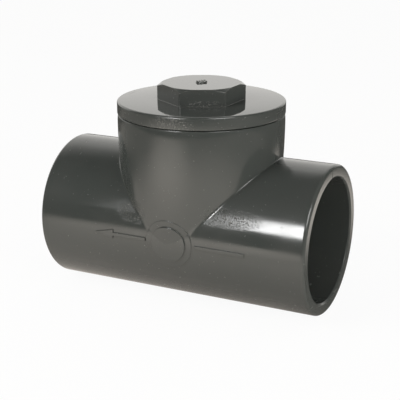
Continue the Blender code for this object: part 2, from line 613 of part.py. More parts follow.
def make_flap(pivot, plastic, rubber, steel):
    # Everything is drawn round the flap's bolt, then set below the pin
    def depth(distance):
        return PIN_BEHIND_SEAT - distance
    hole = BOLT_RADIUS + GAP
    set_down = Matrix.Translation((0, 0, -PIN_DROP))

    def stack(name, outline, steps, mat):
        piece = turned(name, [(radius, depth(x)) for radius, x in outline], steps, mat, axis="X")
        piece.data.transform(set_down)
        mount_on(pivot, piece)
        return piece

    stack("flap_seal", [(hole, SEAL_FACE), (SEAL_RADIUS - SEAL_CHAMFER, SEAL_FACE),
                        (SEAL_RADIUS, SEAL_FACE + SEAL_CHAMFER), (SEAL_RADIUS, SEAL_BACK),
                        (hole, SEAL_BACK)], MEDIUM_STEPS, rubber)
    retainer_back = SEAL_FACE - GAP
    retainer_face = retainer_back - RETAINER_THICKNESS
    slope = RETAINER_CHAMFER
    stack("seal_retainer", [(hole, retainer_face), (RETAINER_RADIUS - slope, retainer_face),
                            (RETAINER_RADIUS, retainer_face + slope), (RETAINER_RADIUS, retainer_back),
                            (hole, retainer_back)], MEDIUM_STEPS, steel)

    crown = DISC_BACK + DISC_RIB_HEIGHT
    rim = SEAL_RADIUS - DISC_RIM_WIDTH
    bevel = DISC_RIM_CHAMFER
    disc = stack("flap_disc", [(hole, DISC_FACE), (SEAL_RADIUS, DISC_FACE), (SEAL_RADIUS, crown - bevel),
                               (SEAL_RADIUS - bevel, crown), (rim, crown), (rim, DISC_BACK),
                               (hole, DISC_BACK)], LARGE_STEPS, plastic)
    start = ARM_BOSS_RADIUS + 2 * GAP
    for i in range(DISC_RIBS):
        angle = math.tau * (i + 0.5) / DISC_RIBS
        rib = slab("disc_rib", [(start, -DISC_RIB_WIDTH / 2), (rim + GAP, -DISC_RIB_WIDTH / 2),
                                (rim + GAP, DISC_RIB_WIDTH / 2), (start, DISC_RIB_WIDTH / 2)],
                   GAP - crown, GAP - DISC_BACK)
        rib.data.transform(Matrix.Rotation(angle, 4, "Z"))
        rib.data.transform(axis_turn("X"))
        rib.data.transform(Matrix.Translation((PIN_BEHIND_SEAT, 0, -PIN_DROP)))
        mount_on(pivot, rib)
        fuse(disc, rib)
    channel = ARM_WIDTH / 2 + 2 * GAP    # shallow bed in the disc's back for the arm
    arm_channel = slab("arm_channel", [(-channel, 0), (channel, 0), (channel, PIN_DROP),
                                       (-channel, PIN_DROP)], -crown - GAP, -DISC_BACK + GAP)
    arm_channel.data.transform(Matrix.Rotation(math.radians(90), 4, "Z"))
    arm_channel.data.transform(axis_turn("X"))
    arm_channel.data.transform(Matrix.Translation((PIN_BEHIND_SEAT, 0, -PIN_DROP)))
    mount_on(pivot, arm_channel)
    cut(disc, arm_channel)

    head_back = retainer_face - GAP
    head_face = head_back - BOLT_HEAD_HEIGHT
    head_middle = head_back - BOLT_HEAD_HEIGHT / 2
    nut_back = NUT_FACE + NUT_HEIGHT
    bolt_end = nut_back + BOLT_END
    bolt = stack("flap_bolt", [(0, head_middle), (BOLT_RADIUS, head_middle), (BOLT_RADIUS, nut_back),
                               (BOLT_RADIUS - BOLT_END / 2, bolt_end), (0, bolt_end)], SMALL_STEPS, steel)
    turn = math.pi / SMALL_STEPS
    head = hexagon("bolt_head", BOLT_FLATS, -head_back, -head_face, turn=turn)
    head_barrel = chamfer_barrel("head_barrel", -head_back, -head_face, high_chamfer=True)
    keep_common(head, head_barrel)
    nut = hexagon("flap_nut", BOLT_FLATS, -nut_back, -NUT_FACE, steel, turn)
    nut_barrel = chamfer_barrel("nut_barrel", -nut_back, -NUT_FACE, high_chamfer=False)
    keep_common(nut, nut_barrel)
    nut_bore = turned("nut_bore", disc_outline(BOLT_RADIUS + GAP, -bolt_end, -SPRING_FACE), SMALL_STEPS)
    cut(nut, nut_bore)
    for piece in (head, head_barrel, nut, nut_barrel, nut_bore):
        piece.data.transform(axis_turn("X"))
        piece.data.transform(Matrix.Translation((PIN_BEHIND_SEAT, 0, -PIN_DROP)))
        mount_on(pivot, piece)
    fuse(bolt, head)
    stack("flap_washer", ring_outline(hole, WASHER_RADIUS, WASHER_FACE, WASHER_FACE + WASHER_THICKNESS),
          SMALL_STEPS, steel)
    mount_on(pivot, make_spring_washer(hole, depth, set_down, steel))


def chamfer_barrel(name, low, high, high_chamfer):
    # A turned blank that rounds off the corners at one end of the bolt's head or nut
    face = BOLT_FLATS / 2 - BOLT_FACE_INSET
    wide = BOLT_FLATS / 2 / math.cos(math.radians(30)) + GAP
    drop = (wide - face) * math.tan(math.radians(30))
    if high_chamfer:
        points = [(0, low), (wide, low), (wide, high - drop), (face, high), (0, high)]
    else:
        points = [(0, low), (face, low), (wide, low + drop), (wide, high), (0, high)]
    return turned(name, points, SMALL_STEPS)


def make_spring_washer(hole, depth, set_down, steel):
    # A square wire wound almost one turn with its ends sprung apart
    bm = bmesh.new()
    low = depth(SPRING_FACE + SPRING_WASHER_THICKNESS)
    high = depth(SPRING_FACE)
    wide = hole + SPRING_WASHER_WIDTH
    corners = [bm.verts.new((radius, 0, height)) for radius, height in
               ((hole, low), (wide, low), (wide, high), (hole, high))]
    first = bm.faces.new(corners)
    bmesh.ops.spin(bm, geom=[first], axis=(0, 0, 1), cent=(0, 0, 0), angle=SPRING_WASHER_SWEEP,
                   steps=SMALL_STEPS, dvec=(0, 0, -SPRING_WASHER_RISE / SMALL_STEPS), use_duplicate=False)
    bmesh.ops.transform(bm, matrix=axis_turn("X"), verts=bm.verts)
    bmesh.ops.transform(bm, matrix=set_down, verts=bm.verts)
    return finish_mesh("flap_spring_washer", bm, steel)


def make_bonnet(plastic, rubber):
    flange = DRUM_TOP_RADIUS + FLANGE_OVER_DRUM
    section = BONNET_O_RING_SECTION
    groove_floor = MOUTH_RADIUS - GAP - section - GAP
    groove_low = FLANGE_BOTTOM - section - 2 * GAP
    roof = FLANGE_TOP - BONNET_PLATE
    hex_top = FLANGE_TOP + HEX_HEIGHT
    core_top = hex_top - HEX_CORE_ROOF
    hollow = [(0, core_top), (HEX_CORE_RADIUS, core_top), (HEX_CORE_RADIUS, roof), (SPIGOT_BORE, roof),
              (SPIGOT_BORE, SPIGOT_BOTTOM)]
    spigot = [(SPIGOT_RADIUS - SPIGOT_CHAMFER, SPIGOT_BOTTOM),
              (SPIGOT_RADIUS, SPIGOT_BOTTOM + SPIGOT_CHAMFER), (SPIGOT_RADIUS, groove_low),
              (groove_floor, groove_low), (groove_floor, FLANGE_BOTTOM)]
    rim = [(flange - GAP, FLANGE_BOTTOM), (flange, FLANGE_BOTTOM + GAP)]
    rim += arc(flange - FLANGE_TOP_ROUND, FLANGE_TOP - FLANGE_TOP_ROUND, FLANGE_TOP_ROUND, 0, math.pi / 2, 3)
    plug = HEX_FLATS / 2 - GAP
    top = [(plug, FLANGE_TOP), (plug, hex_top - GAP), (0, hex_top - GAP)]
    bonnet = turned("bonnet", hollow + spigot + rim + top, LARGE_STEPS, plastic)
    corner = HEX_FLATS / 2 / math.cos(math.radians(30))
    drop = (corner - HEX_FACE_RADIUS) * math.tan(HEX_CHAMFER)
    wide = corner + GAP
    barrel = turned("hex_barrel", [(0, core_top + GAP), (HEX_CORE_RADIUS + GAP, core_top + GAP),
                                   (HEX_CORE_RADIUS + GAP, FLANGE_TOP - GAP), (wide, FLANGE_TOP - GAP),
                                   (wide, hex_top - drop), (HEX_FACE_RADIUS, hex_top), (0, hex_top)],
                    LARGE_STEPS)
    head = hexagon("hex_head", HEX_FLATS, FLANGE_TOP - GAP, hex_top, turn=HEX_TURN)
    keep_common(head, barrel)
    gate_mark = turned("gate_mark", disc_outline(GATE_MARK_RADIUS, hex_top - GAP, hex_top + GATE_MARK_HEIGHT),
                       SMALL_STEPS // 2)
    fuse(bonnet, head, gate_mark)
    for i in range(BONNET_RIBS):
        rib = slab("bonnet_rib", [(HEX_CORE_RADIUS + GAP, -BONNET_RIB_WIDTH / 2),
                                  (SPIGOT_BORE + GAP, -BONNET_RIB_WIDTH / 2),
                                  (SPIGOT_BORE + GAP, BONNET_RIB_WIDTH / 2),
                                  (HEX_CORE_RADIUS + GAP, BONNET_RIB_WIDTH / 2)],
                   roof - BONNET_RIB_HEIGHT, roof + GAP)
        rib.data.transform(Matrix.Rotation(HEX_TURN + math.tau * i / BONNET_RIBS, 4, "Z"))
        fuse(bonnet, rib)
    half = section / 2
    turned("bonnet_o_ring", round_section(groove_floor + GAP + half, groove_low + GAP + half, half),
           MEDIUM_STEPS, rubber)


def main():
    clear_scene()
    pvc = make_material("grey_pvc_u", (0.045, 0.047, 0.045), 0.32)
    flap_plastic = make_material("black_pp", (0.03, 0.03, 0.032), 0.42)
    bush_plastic = make_material("white_pom", (0.62, 0.61, 0.57), 0.35)
    rubber = make_material("epdm", (0.012, 0.012, 0.012), 0.7)
    steel = make_material("stainless_steel", (0.62, 0.61, 0.59), 0.28, 1.0)
    seat_frame = make_empty("seat_frame", SEAT_CENTRE)
    flap_pivot = make_empty("flap_pivot", PIN_CENTRE)
    make_body(pvc)
    make_seat(seat_frame, pvc, rubber)
    make_bracket(steel)
    make_bracket_fasteners(steel)
    make_pin_and_clips(steel)
    make_bushes(flap_pivot, bush_plastic)
    make_arm(flap_pivot, flap_plastic)
    make_flap(flap_pivot, flap_plastic, rubber, steel)
    make_bonnet(pvc, rubber)


main()
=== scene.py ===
import json
import math
import random

import bmesh
import bpy
from mathutils import Matrix, Vector


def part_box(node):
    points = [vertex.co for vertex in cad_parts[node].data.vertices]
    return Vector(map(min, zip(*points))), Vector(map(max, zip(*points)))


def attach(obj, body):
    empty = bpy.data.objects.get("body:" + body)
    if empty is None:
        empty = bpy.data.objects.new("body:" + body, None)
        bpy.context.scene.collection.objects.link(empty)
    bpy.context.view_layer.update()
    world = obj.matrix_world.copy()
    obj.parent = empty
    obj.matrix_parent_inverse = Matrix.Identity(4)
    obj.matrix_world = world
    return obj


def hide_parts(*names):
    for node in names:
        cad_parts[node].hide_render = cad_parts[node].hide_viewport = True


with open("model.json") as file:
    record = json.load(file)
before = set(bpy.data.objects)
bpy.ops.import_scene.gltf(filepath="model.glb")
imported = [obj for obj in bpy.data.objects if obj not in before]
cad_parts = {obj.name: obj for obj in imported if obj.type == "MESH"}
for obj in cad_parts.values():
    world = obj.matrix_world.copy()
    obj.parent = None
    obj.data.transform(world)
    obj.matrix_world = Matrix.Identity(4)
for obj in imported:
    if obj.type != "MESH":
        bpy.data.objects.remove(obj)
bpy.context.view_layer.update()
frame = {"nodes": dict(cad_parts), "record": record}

# Looks for a grey PVC-U swing check valve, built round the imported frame.
# Lengths in the dictionaries are millimetres, apart from the studio's.

mm = 0.001
scene = bpy.context.scene
scene.view_settings.view_transform = "Standard"


def boxOf(node):
    low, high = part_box(node)
    return low / mm, high / mm


bodyLow, bodyHigh = boxOf("valve_body")
bonnetLow, bonnetHigh = boxOf("bonnet")
pinLow, pinHigh = boxOf("hinge_pin")
seatLow, seatHigh = boxOf("seat_ring")

# Sizes that more than one piece has to agree on. The plastic's shading along the joint
# follows the chamber's curve and keeps clear of the badge, so those are here too.
fit = {
    "runRadius": -bodyLow.z,
    "inletEnd": bodyHigh.x,
    "outletEnd": bodyLow.x,
    "mouthTop": bodyHigh.z,
    "spigotBottom": bonnetLow.z,
    "drumTopRadius": bonnetHigh.y - 0.1,
    "drumBase": 38.05,
    "drumBend": 2.3,
    "badgeX": 0.4,
    "badgeZ": -0.4,
    "badgeRadius": 12.3,
    "tilt": math.radians(5.0),       # the seat and flap lean back by this much
    "seatOuter": 29.0,
    "seatDepth": 4.0,
    "gap": 0.3,
    "fineSteps": 192,
    "roundSteps": 96,
    "smallSteps": 48,
}
# Thread between the mouth and the spigot; ridge and groove are half widths at root and tip
thread = {"pitch": 4.0, "depth": 1.1, "sunk": 0.3, "low": 44.6, "turns": 2.1, "ridge": (1.0, 0.45),
          "groove": (1.25, 0.7), "lead": 0.9, "extraTurns": 1.0}

# Places: a piece is made round Z and laid along X or Y, and an outline in X and Z is stood up
upright = Matrix.Identity(4)
alongX = Matrix.Rotation(math.radians(90), 4, "Y")
alongY = Matrix.Rotation(math.radians(-90), 4, "X")
standing = Matrix.Rotation(math.radians(90), 4, "X")
# The seat's face crosses the run's axis here, worked back from the ring's tilted box
seatFace = seatHigh.x - fit["seatDepth"] * math.cos(fit["tilt"]) - fit["seatOuter"] * math.sin(fit["tilt"])
seatPlace = Matrix.Translation((seatFace, 0, 0)) @ Matrix.Rotation(fit["tilt"], 4, "Y")
boltAxis = seatPlace @ alongX
pinCentre = (pinLow + pinHigh) / 2
pinPlace = Matrix.Translation((pinCentre.x, 0, pinCentre.z))


# Mesh helpers

def addPiece(name, bm, angle=30.0):
    bmesh.ops.remove_doubles(bm, verts=bm.verts, dist=1e-4)
    bmesh.ops.recalc_face_normals(bm, faces=bm.faces)
    bmesh.ops.transform(bm, matrix=Matrix.Scale(mm, 4), verts=bm.verts)
    mesh = bpy.data.meshes.new(name)
    bm.to_mesh(mesh)
    bm.free()
    mesh.shade_smooth()
    mesh.set_sharp_from_angle(angle=math.radians(angle))
    piece = bpy.data.objects.new(name, mesh)
    scene.collection.objects.link(piece)
    return piece


def turned(outline, steps, place=upright):
    # Spins a closed outline of (radius, height) round Z
    bm = bmesh.new()
    ring = [bm.verts.new((radius, 0, height)) for radius, height in outline]
    edges = []
    for first, second in zip(ring, ring[1:] + ring[:1]):
        if first.co.x > 1e-6 or second.co.x > 1e-6:
            edges.append(bm.edges.new((first, second)))
    bmesh.ops.spin(bm, geom=ring + edges, cent=(0, 0, 0), axis=(0, 0, 1), angle=math.tau,
                   steps=steps, use_merge=True)
    bmesh.ops.transform(bm, matrix=place, verts=bm.verts)
    return bm


def prism(outline, low, high, place=upright):
    bm = bmesh.new()
    face = bm.faces.new([bm.verts.new((x, y, low)) for x, y in outline])
    grown = bmesh.ops.extrude_face_region(bm, geom=[face])
    verts = [v for v in grown["geom"] if isinstance(v, bmesh.types.BMVert)]
    bmesh.ops.translate(bm, vec=(0, 0, high - low), verts=verts)
    bmesh.ops.transform(bm, matrix=place, verts=bm.verts)
    return bm


def sidePrism(outline, low, high, place=upright):
    # An outline drawn in X and Z, extruded between two places along Y
    return prism(outline, -high, -low, place @ standing)


def rectangle(left, right, low, high):
    return [(left, low), (right, low), (right, high), (left, high)]


def arc(cx, cy, radius, start, end, count):
    step = math.radians(end - start) / count
    angle = math.radians(start)
    return [(cx + radius * math.cos(angle + step * i), cy + radius * math.sin(angle + step * i))
            for i in range(count + 1)]


def eased(outline, width, count=3):
    # Rounds every corner of a closed outline that stands off the axis
    points = []
    for i, corner in enumerate(outline):
        here = Vector(corner)
        before, after = Vector(outline[i - 1]) - here, Vector(outline[(i + 1) % len(outline)]) - here
        if here.x < 1e-6:
            points.append(corner)
            continue
        reach = min(width, 0.45 * before.length, 0.45 * after.length)
        first, last = here + before.normalized() * reach, here + after.normalized() * reach
        for k in range(count + 1):
            share = k / count
            point = first.lerp(here, share).lerp(here.lerp(last, share), share)
            points.append((point.x, point.y))
    return points


def sixSides(flats, turn=0.0):
    corner = flats / 2 / math.cos(math.radians(30))
    return [(corner * math.cos(turn + math.tau * i / 6), corner * math.sin(turn + math.tau * i / 6))
            for i in range(6)]


def bevelled(bm, edges, width, segments=2):
    bmesh.ops.bevel(bm, geom=edges, offset=width, affect="EDGES", segments=segments, profile=0.5,
                    material=-1)
    return bm


def roundEdges(bm, width, angle=35.0):
    # Rounds every edge of a block that turns by more than the angle
    bmesh.ops.recalc_face_normals(bm, faces=bm.faces)
    edges = [e for e in bm.edges if len(e.link_faces) == 2 and e.calc_face_angle() > math.radians(angle)]
    return bevelled(bm, edges, width)


def combine(piece, steps, angle=30.0):
    # Runs the Booleans in order, keeps the result and clears the tools away.
    # A tool is a finished piece or a mesh that is still being made.
    tools = []
    for operation, tool in steps:
        if isinstance(tool, bmesh.types.BMesh):
            tool = addPiece("tool", tool)
        tools.append(tool)
        modifier = piece.modifiers.new(operation, "BOOLEAN")
        modifier.operation = operation
        modifier.solver = "MANIFOLD"
        modifier.object = tool
    bpy.context.view_layer.update()
    done = piece.evaluated_get(bpy.context.evaluated_depsgraph_get())
    mesh = bpy.data.meshes.new_from_object(done)
    old = piece.data
    piece.modifiers.clear()
    piece.data = mesh
    bpy.data.meshes.remove(old)
    for tool in tools:
        bpy.data.objects.remove(tool, do_unlink=True)
    mesh.name = piece.name
    mesh.shade_smooth()
    mesh.set_sharp_from_angle(angle=math.radians(angle))
    return piece


def helixBar(radius, halves, low, turns):
    # A bar wound up the thread, pointing inwards, with its root sunk into the wall
    bm = bmesh.new()
    root, tip = halves
    side = [(radius + thread["sunk"], root), (radius, root), (radius - thread["depth"], tip)]
    corners = [(r, -half) for r, half in side] + side[::-1]
    face = bm.faces.new([bm.verts.new((r, 0, low + z)) for r, z in corners])
    steps = int(turns * fit["roundSteps"])
    bmesh.ops.spin(bm, geom=[face], cent=(0, 0, 0), axis=(0, 0, 1), angle=math.tau * turns,
                   steps=steps, dvec=(0, 0, thread["pitch"] * turns / steps), use_duplicate=False)
    return bm


# Material helpers

def hexToLinear(code):
    values = [int(code[i:i + 2], 16) / 255 for i in (0, 2, 4)]
    return [v / 12.92 if v <= 0.04045 else ((v + 0.055) / 1.055) ** 2.4 for v in values] + [1.0]


def addNode(tree, kind, settings):
    # A setting that is a socket, or a node whose first output is meant, is linked
    node = tree.nodes.new("ShaderNode" + kind)
    for key, value in settings.items():
        if isinstance(value, bpy.types.Node):
            value = value.outputs[0]
        if isinstance(value, bpy.types.NodeSocket):
            tree.links.new(value, node.inputs[key])
        elif isinstance(key, int) or key in node.inputs:
            node.inputs[key].default_value = value
        else:
            setattr(node, key, value)
    return node


def newMaterial(name):
    material = bpy.data.materials.new(name)
    material.use_nodes = True
    material.node_tree.nodes.clear()
    return material, material.node_tree


def filletNormal(tree, place, plain, width):
    # Blends the run's and the chamber's own normals along the line where the two skins meet, so
    # that the joint catches light as the moulding's small fillet does. The skin and its slope are
    # the curve of drumRadius.
    parts = addNode(tree, "SeparateXYZ", {"Vector": place}).outputs
    top, bend = fit["mouthTop"] * mm, fit["drumBend"]
    flare = (fit["drumTopRadius"] - fit["drumBase"]) * mm
    values = {"x": parts["X"], "y": parts["Y"], "z": parts["Z"]}
    for name, operation, *terms in (
            ("ySquare", "MULTIPLY", "y", "y"),
            ("runSquare", "MULTIPLY_ADD", "z", "z", "ySquare"),
            ("fromRun", "SQRT", "runSquare"),
            ("offRun", "SUBTRACT", "fromRun", fit["runRadius"] * mm),
            ("drumSquare", "MULTIPLY_ADD", "x", "x", "ySquare"),
            ("fromDrum", "SQRT", "drumSquare"),
            ("climbed", "DIVIDE", "z", top),
            ("left", "SUBTRACT", 1.0, "climbed"),
            ("bent", "POWER", "left", bend),
            ("drawnIn", "MULTIPLY", "bent", flare),
            ("skin", "SUBTRACT", fit["drumTopRadius"] * mm, "drawnIn"),
            ("offDrum", "SUBTRACT", "fromDrum", "skin"),
            ("slope", "POWER", "left", bend - 1),
            ("lean", "MULTIPLY", "slope", -bend * flare / top),
            ("drumX", "DIVIDE", "x", "fromDrum"),
            ("drumY", "DIVIDE", "y", "fromDrum"),
            ("between", "SUBTRACT", "offRun", "offDrum"),
            # Only near the joint, on the outer skin, above the run's axis and clear of the badge
            ("outermost", "MAXIMUM", "offRun", "offDrum"),
            ("near", "LESS_THAN", "outermost", width),
            ("innermost", "MINIMUM", "offRun", "offDrum"),
            ("outside", "GREATER_THAN", "innermost", -0.4 * mm),
            ("above", "GREATER_THAN", "z", 2 * mm),
            ("badgeX", "SUBTRACT", "x", fit["badgeX"] * mm),
            ("badgeZ", "SUBTRACT", "z", fit["badgeZ"] * mm),
            ("badgeZSquare", "MULTIPLY", "badgeZ", "badgeZ"),
            ("badgeSquare", "MULTIPLY_ADD", "badgeX", "badgeX", "badgeZSquare"),
            ("fromBadge", "SQRT", "badgeSquare"),
            ("clear", "GREATER_THAN", "fromBadge", (fit["badgeRadius"] + 0.4) * mm),
            ("onSkin", "MULTIPLY", "near", "outside"),
            ("inPlace", "MULTIPLY", "above", "clear"),
            ("mask", "MULTIPLY", "onSkin", "inPlace")):
        inputs = {slot: values.get(term, term) for slot, term in enumerate(terms)}
        values[name] = addNode(tree, "Math", {"operation": operation, **inputs})
    ways = []
    for way in ({"Y": values["y"], "Z": values["z"]},
                {"X": values["drumX"], "Y": values["drumY"], "Z": values["lean"]}):
        joined = addNode(tree, "CombineXYZ", way)
        ways.append(addNode(tree, "VectorMath", {"operation": "NORMALIZE", 0: joined}))
    share = addNode(tree, "MapRange", {"From Min": -width, "From Max": width, "Value": values["between"]})
    blend = addNode(tree, "Mix", {"data_type": "VECTOR", "Factor": share, "A": ways[0], "B": ways[1]})
    chosen = addNode(tree, "Mix", {"data_type": "VECTOR", "Factor": values["mask"], "A": plain,
                                   "B": blend.outputs["Result"]})
    return addNode(tree, "VectorMath", {"operation": "NORMALIZE", 0: chosen.outputs["Result"]})


def nickMask(tree, place, look):
    # Fine nicks that thin out towards the edge of each patch. The patches lie where a highlight falls, and
    # the nicks' pale colour also paints its glints.
    mask = 0.0
    for nick in look["nicks"]:
        laid = addNode(tree, "Mapping", {
            "vector_type": "TEXTURE", "Vector": place, "Location": [v * mm for v in nick["place"]],
            "Rotation": (0, 0, math.radians(nick["turn"])), "Scale": [v * mm for v in nick["size"]]})
        reach = addNode(tree, "VectorMath", {"operation": "LENGTH", 0: laid}).outputs["Value"]
        level = addNode(tree, "MapRange", {"interpolation_type": "SMOOTHSTEP", "From Min": 1.0,
                                           "From Max": 0.1, "Value": reach})
        mask = addNode(tree, "Math", {"operation": "MAXIMUM", 0: mask, 1: level})
    cells = addNode(tree, "TexNoise", {"Scale": 1000 / look["nickSize"], "Detail": 3.0, "Roughness": 0.7,
                                       "Vector": place})
    start, end = look["nickEdge"]
    edge = addNode(tree, "MapRange", {"From Min": start, "From Max": end, "Value": cells})
    return addNode(tree, "Math", {"operation": "MULTIPLY", 0: edge, 1: mask})


# Grey unplasticised PVC, injection moulded in a polished tool: a hard plastic gloss with a faint
# orange peel, fine handling scratches, edges rubbed a little paler, and pale nicks whose colour also paints
# glints in the highlights.
pvcLook = {
    "colour": "3b3f3c",
    "flowColour": "424340",
    "wearAndGlintColour": "76756f",
    "roughness": 0.1,
    "roughSpan": 0.09,
    "sideRough": 0.0,        # added to the roughness of upright faces
    "ior": 1.53,
    "flowSize": 38.0,        # swirls of slightly different grey
    "peelSize": 3.2,         # orange peel
    "peelHeight": 0.012,
    "grainSize": 0.45,       # drawn coarser than the real 0.1 mm so that it shows
    "grainHeight": 0.00025,
    "scratchSize": 1.1,
    "scratchSquash": (1.0, 0.06, 1.0),
    "scratchTurns": ((0.5, 0.2, 0.4), (-0.6, 0.5, 1.3)),
    "scratchEdge": (0.745, 0.81),
    "scratchHeight": 0.004,
    "scratchPale": 0.12,
    "scratchRough": 0.2,
    "edgeRadius": 0.35,
    "edgeWear": 0.35,
    "jointWidth": 0.8,       # fillet where the chamber runs into the pipe
    # Nick patches lie in the highlights; their pale colour is part real nicks, part painted glints
    "nickSize": 0.7,
    "nickEdge": (0.55, 0.63),
    "nickHeight": 0.22,
    "nickPaleAndGlint": 0.9,
    "nicks": [
        {"place": (30, -34.5, 16.5), "size": (22, 5, 6), "turn": 0},
        {"place": (-20, -35.5, 13), "size": (11, 6, 8), "turn": 0},
    ],
}
# The bonnet comes from a brighter tool, and its flange and spanner flats are knocked about; the pale nicks on
# the flange's side also paint the glints of its highlight
bonnetLook = dict(pvcLook, roughness=0.03, roughSpan=0.02, sideRough=0.18, edgeWear=0.9,
                  nickHeight=0.14, nickSize=0.9, nicks=[
    {"place": (5, -42.3, 60.8), "size": (15, 5, 5.5), "turn": 0},
    {"place": (10.1, -16.6, 65.9), "size": (13, 3.5, 2.6), "turn": 27.3},
    {"place": (16.8, -13.1, 65.4), "size": (4, 3, 2.6), "turn": 27.3},
])


def makePvc(name, look):
    material, tree = newMaterial(name)
    coordinates = addNode(tree, "TexCoord", {}).outputs
    place = coordinates["Object"]
    nicks = nickMask(tree, place, look)
    flow = addNode(tree, "TexNoise", {"Scale": 1000 / look["flowSize"], "Detail": 3.0, "Distortion": 1.2,
                                      "Vector": place})
    peel, grain = (addNode(tree, "TexNoise", {"Scale": 1000 / look[size], "Detail": 2.0, "Vector": place})
                   for size in ("peelSize", "grainSize"))
    # Two sets of long thin noise cells make scratches that cross at an angle
    scratch = 0.0
    for turn in look["scratchTurns"]:
        laid = addNode(tree, "Mapping", {"Rotation": turn, "Scale": look["scratchSquash"], "Vector": place})
        cells = addNode(tree, "TexNoise", {"Scale": 1000 / look["scratchSize"], "Detail": 1.0,
                                           "Roughness": 0.3, "Vector": laid})
        start, end = look["scratchEdge"]
        line = addNode(tree, "MapRange", {"From Min": start, "From Max": end, "Value": cells})
        scratch = addNode(tree, "Math", {"operation": "MAXIMUM", 0: scratch, 1: line})

    # Rounded normals show where an edge is, and so where it is rubbed
    rounded = addNode(tree, "Bevel", {"samples": 6, "Radius": look["edgeRadius"] * mm})
    facing = addNode(tree, "NewGeometry", {}).outputs["Normal"]
    same = addNode(tree, "VectorMath", {"operation": "DOT_PRODUCT", 0: rounded, 1: facing})
    rubbed = addNode(tree, "MapRange", {"From Min": 0.995, "From Max": 0.86, "To Max": 0.6,
                                        "Value": same.outputs["Value"]})
    wearAndGlint = addNode(tree, "Math", {"operation": "MULTIPLY", 0: rubbed, 1: look["edgeWear"]})
    # Scratches and nicks are paler; in the nick patches the pale colour also paints the highlight's glints
    for marks, pale in ((scratch, look["scratchPale"]), (nicks, look["nickPaleAndGlint"])):
        wearAndGlint = addNode(tree, "Math", {"operation": "MULTIPLY_ADD", 0: marks, 1: pale, 2: wearAndGlint})
    base = addNode(tree, "Mix", {"data_type": "RGBA", "Factor": flow, "A": hexToLinear(look["colour"]),
                                 "B": hexToLinear(look["flowColour"])})
    wornAndGlinting = addNode(tree, "Mix", {"data_type": "RGBA", "Factor": wearAndGlint, "A": base.outputs["Result"],
                                 "B": hexToLinear(look["wearAndGlintColour"])})

    patchy = addNode(tree, "MapRange", {"From Min": 0.35, "From Max": 0.7, "To Min": look["roughness"],
                                        "To Max": look["roughness"] + look["roughSpan"], "Value": flow})
    facingUp = addNode(tree, "SeparateXYZ", {"Vector": coordinates["Normal"]}).outputs["Z"]
    side = addNode(tree, "MapRange", {"From Min": 0.8, "From Max": 0.2, "To Max": look["sideRough"],
                                      "Value": facingUp})
    sided = addNode(tree, "Math", {"operation": "ADD", 0: side, 1: patchy})
    rough = addNode(tree, "Math", {"operation": "MULTIPLY_ADD", 0: scratch, 1: look["scratchRough"],
                                   2: sided})

    normal = filletNormal(tree, place, rounded, look["jointWidth"] * mm)
    for height, size in ((peel, look["peelHeight"]), (grain, look["grainHeight"]),
                         (scratch, -look["scratchHeight"]), (nicks, -look["nickHeight"])):
        normal = addNode(tree, "Bump", {"Strength": 1.0, "Distance": abs(size) * mm, "invert": size < 0,
                                        "Height": height, "Normal": normal})
    shader = addNode(tree, "BsdfPrincipled", {"Base Color": wornAndGlinting.outputs["Result"], "Roughness": rough,
                                              "Normal": normal, "IOR": look["ior"]})
    addNode(tree, "OutputMaterial", {"Surface": shader})
    return material


# Black polypropylene and white acetal are waxier plastics with a fine tool grain. EPDM rubber has
# more grain and hardly any gloss. Stainless steel, stamped and turned, has fine parallel tool
# marks under a dull shine. Roughness and colour drift together between the two ends given.
grainedLooks = {
    "flap_plastic": {"name": "blackPolypropylene", "colours": ("262627", "2c2c2d"), "spread": 0.15,
                     "rough": (0.36, 0.50), "grain": 0.6, "cloud": 16.667, "height": 0.006,
                     "detail": 3.0, "squash": (1.0, 1.0, 1.0), "shader": {"IOR": 1.49}},
    "bush_plastic": {"name": "whiteAcetal", "colours": ("cfccc2", "d8d5cc"), "spread": 0.15,
                     "rough": (0.26, 0.40), "grain": 0.5, "cloud": 16.667, "height": 0.002,
                     "detail": 3.0, "squash": (1.0, 1.0, 1.0), "shader": {"IOR": 1.48}},
    "rubber": {"name": "epdmRubber", "colours": ("191919", "202020"), "spread": 0.15,
               "rough": (0.56, 0.70), "grain": 0.35, "cloud": 16.667, "height": 0.01,
               "detail": 3.0, "squash": (1.0, 1.0, 1.0), "shader": {"IOR": 1.52}},
    "steel": {"name": "stainlessSteel", "colours": ("a5a39e", "c5c3be"), "spread": 0.2,
              "rough": (0.18, 0.36), "grain": 0.22, "cloud": 0.22, "height": 0.003,
              "detail": 4.0, "squash": (1.0, 1.0, 0.08), "shader": {"Metallic": 1.0}},
}


def makeGrained(look):
    material, tree = newMaterial(look["name"])
    place = addNode(tree, "TexCoord", {}).outputs["Object"]
    laid = addNode(tree, "Mapping", {"Scale": look["squash"], "Vector": place})
    grain, cloud = (addNode(tree, "TexNoise", {"Scale": 1000 / look[size], "Detail": look["detail"],
                                               "Vector": laid}) for size in ("grain", "cloud"))
    share = addNode(tree, "MapRange", {"From Min": 0.5 - look["spread"], "From Max": 0.5 + look["spread"],
                                       "Value": cloud})
    first, second = look["colours"]
    colour = addNode(tree, "Mix", {"data_type": "RGBA", "Factor": share, "A": hexToLinear(first),
                                   "B": hexToLinear(second)})
    low, high = look["rough"]
    rough = addNode(tree, "MapRange", {"To Min": low, "To Max": high, "Value": cloud})
    bump = addNode(tree, "Bump", {"Strength": 1.0, "Distance": look["height"] * mm, "Height": grain})
    shader = addNode(tree, "BsdfPrincipled", {"Base Color": colour.outputs["Result"], "Roughness": rough,
                                              "Normal": bump, **look["shader"]})
    addNode(tree, "OutputMaterial", {"Surface": shader})
    return material


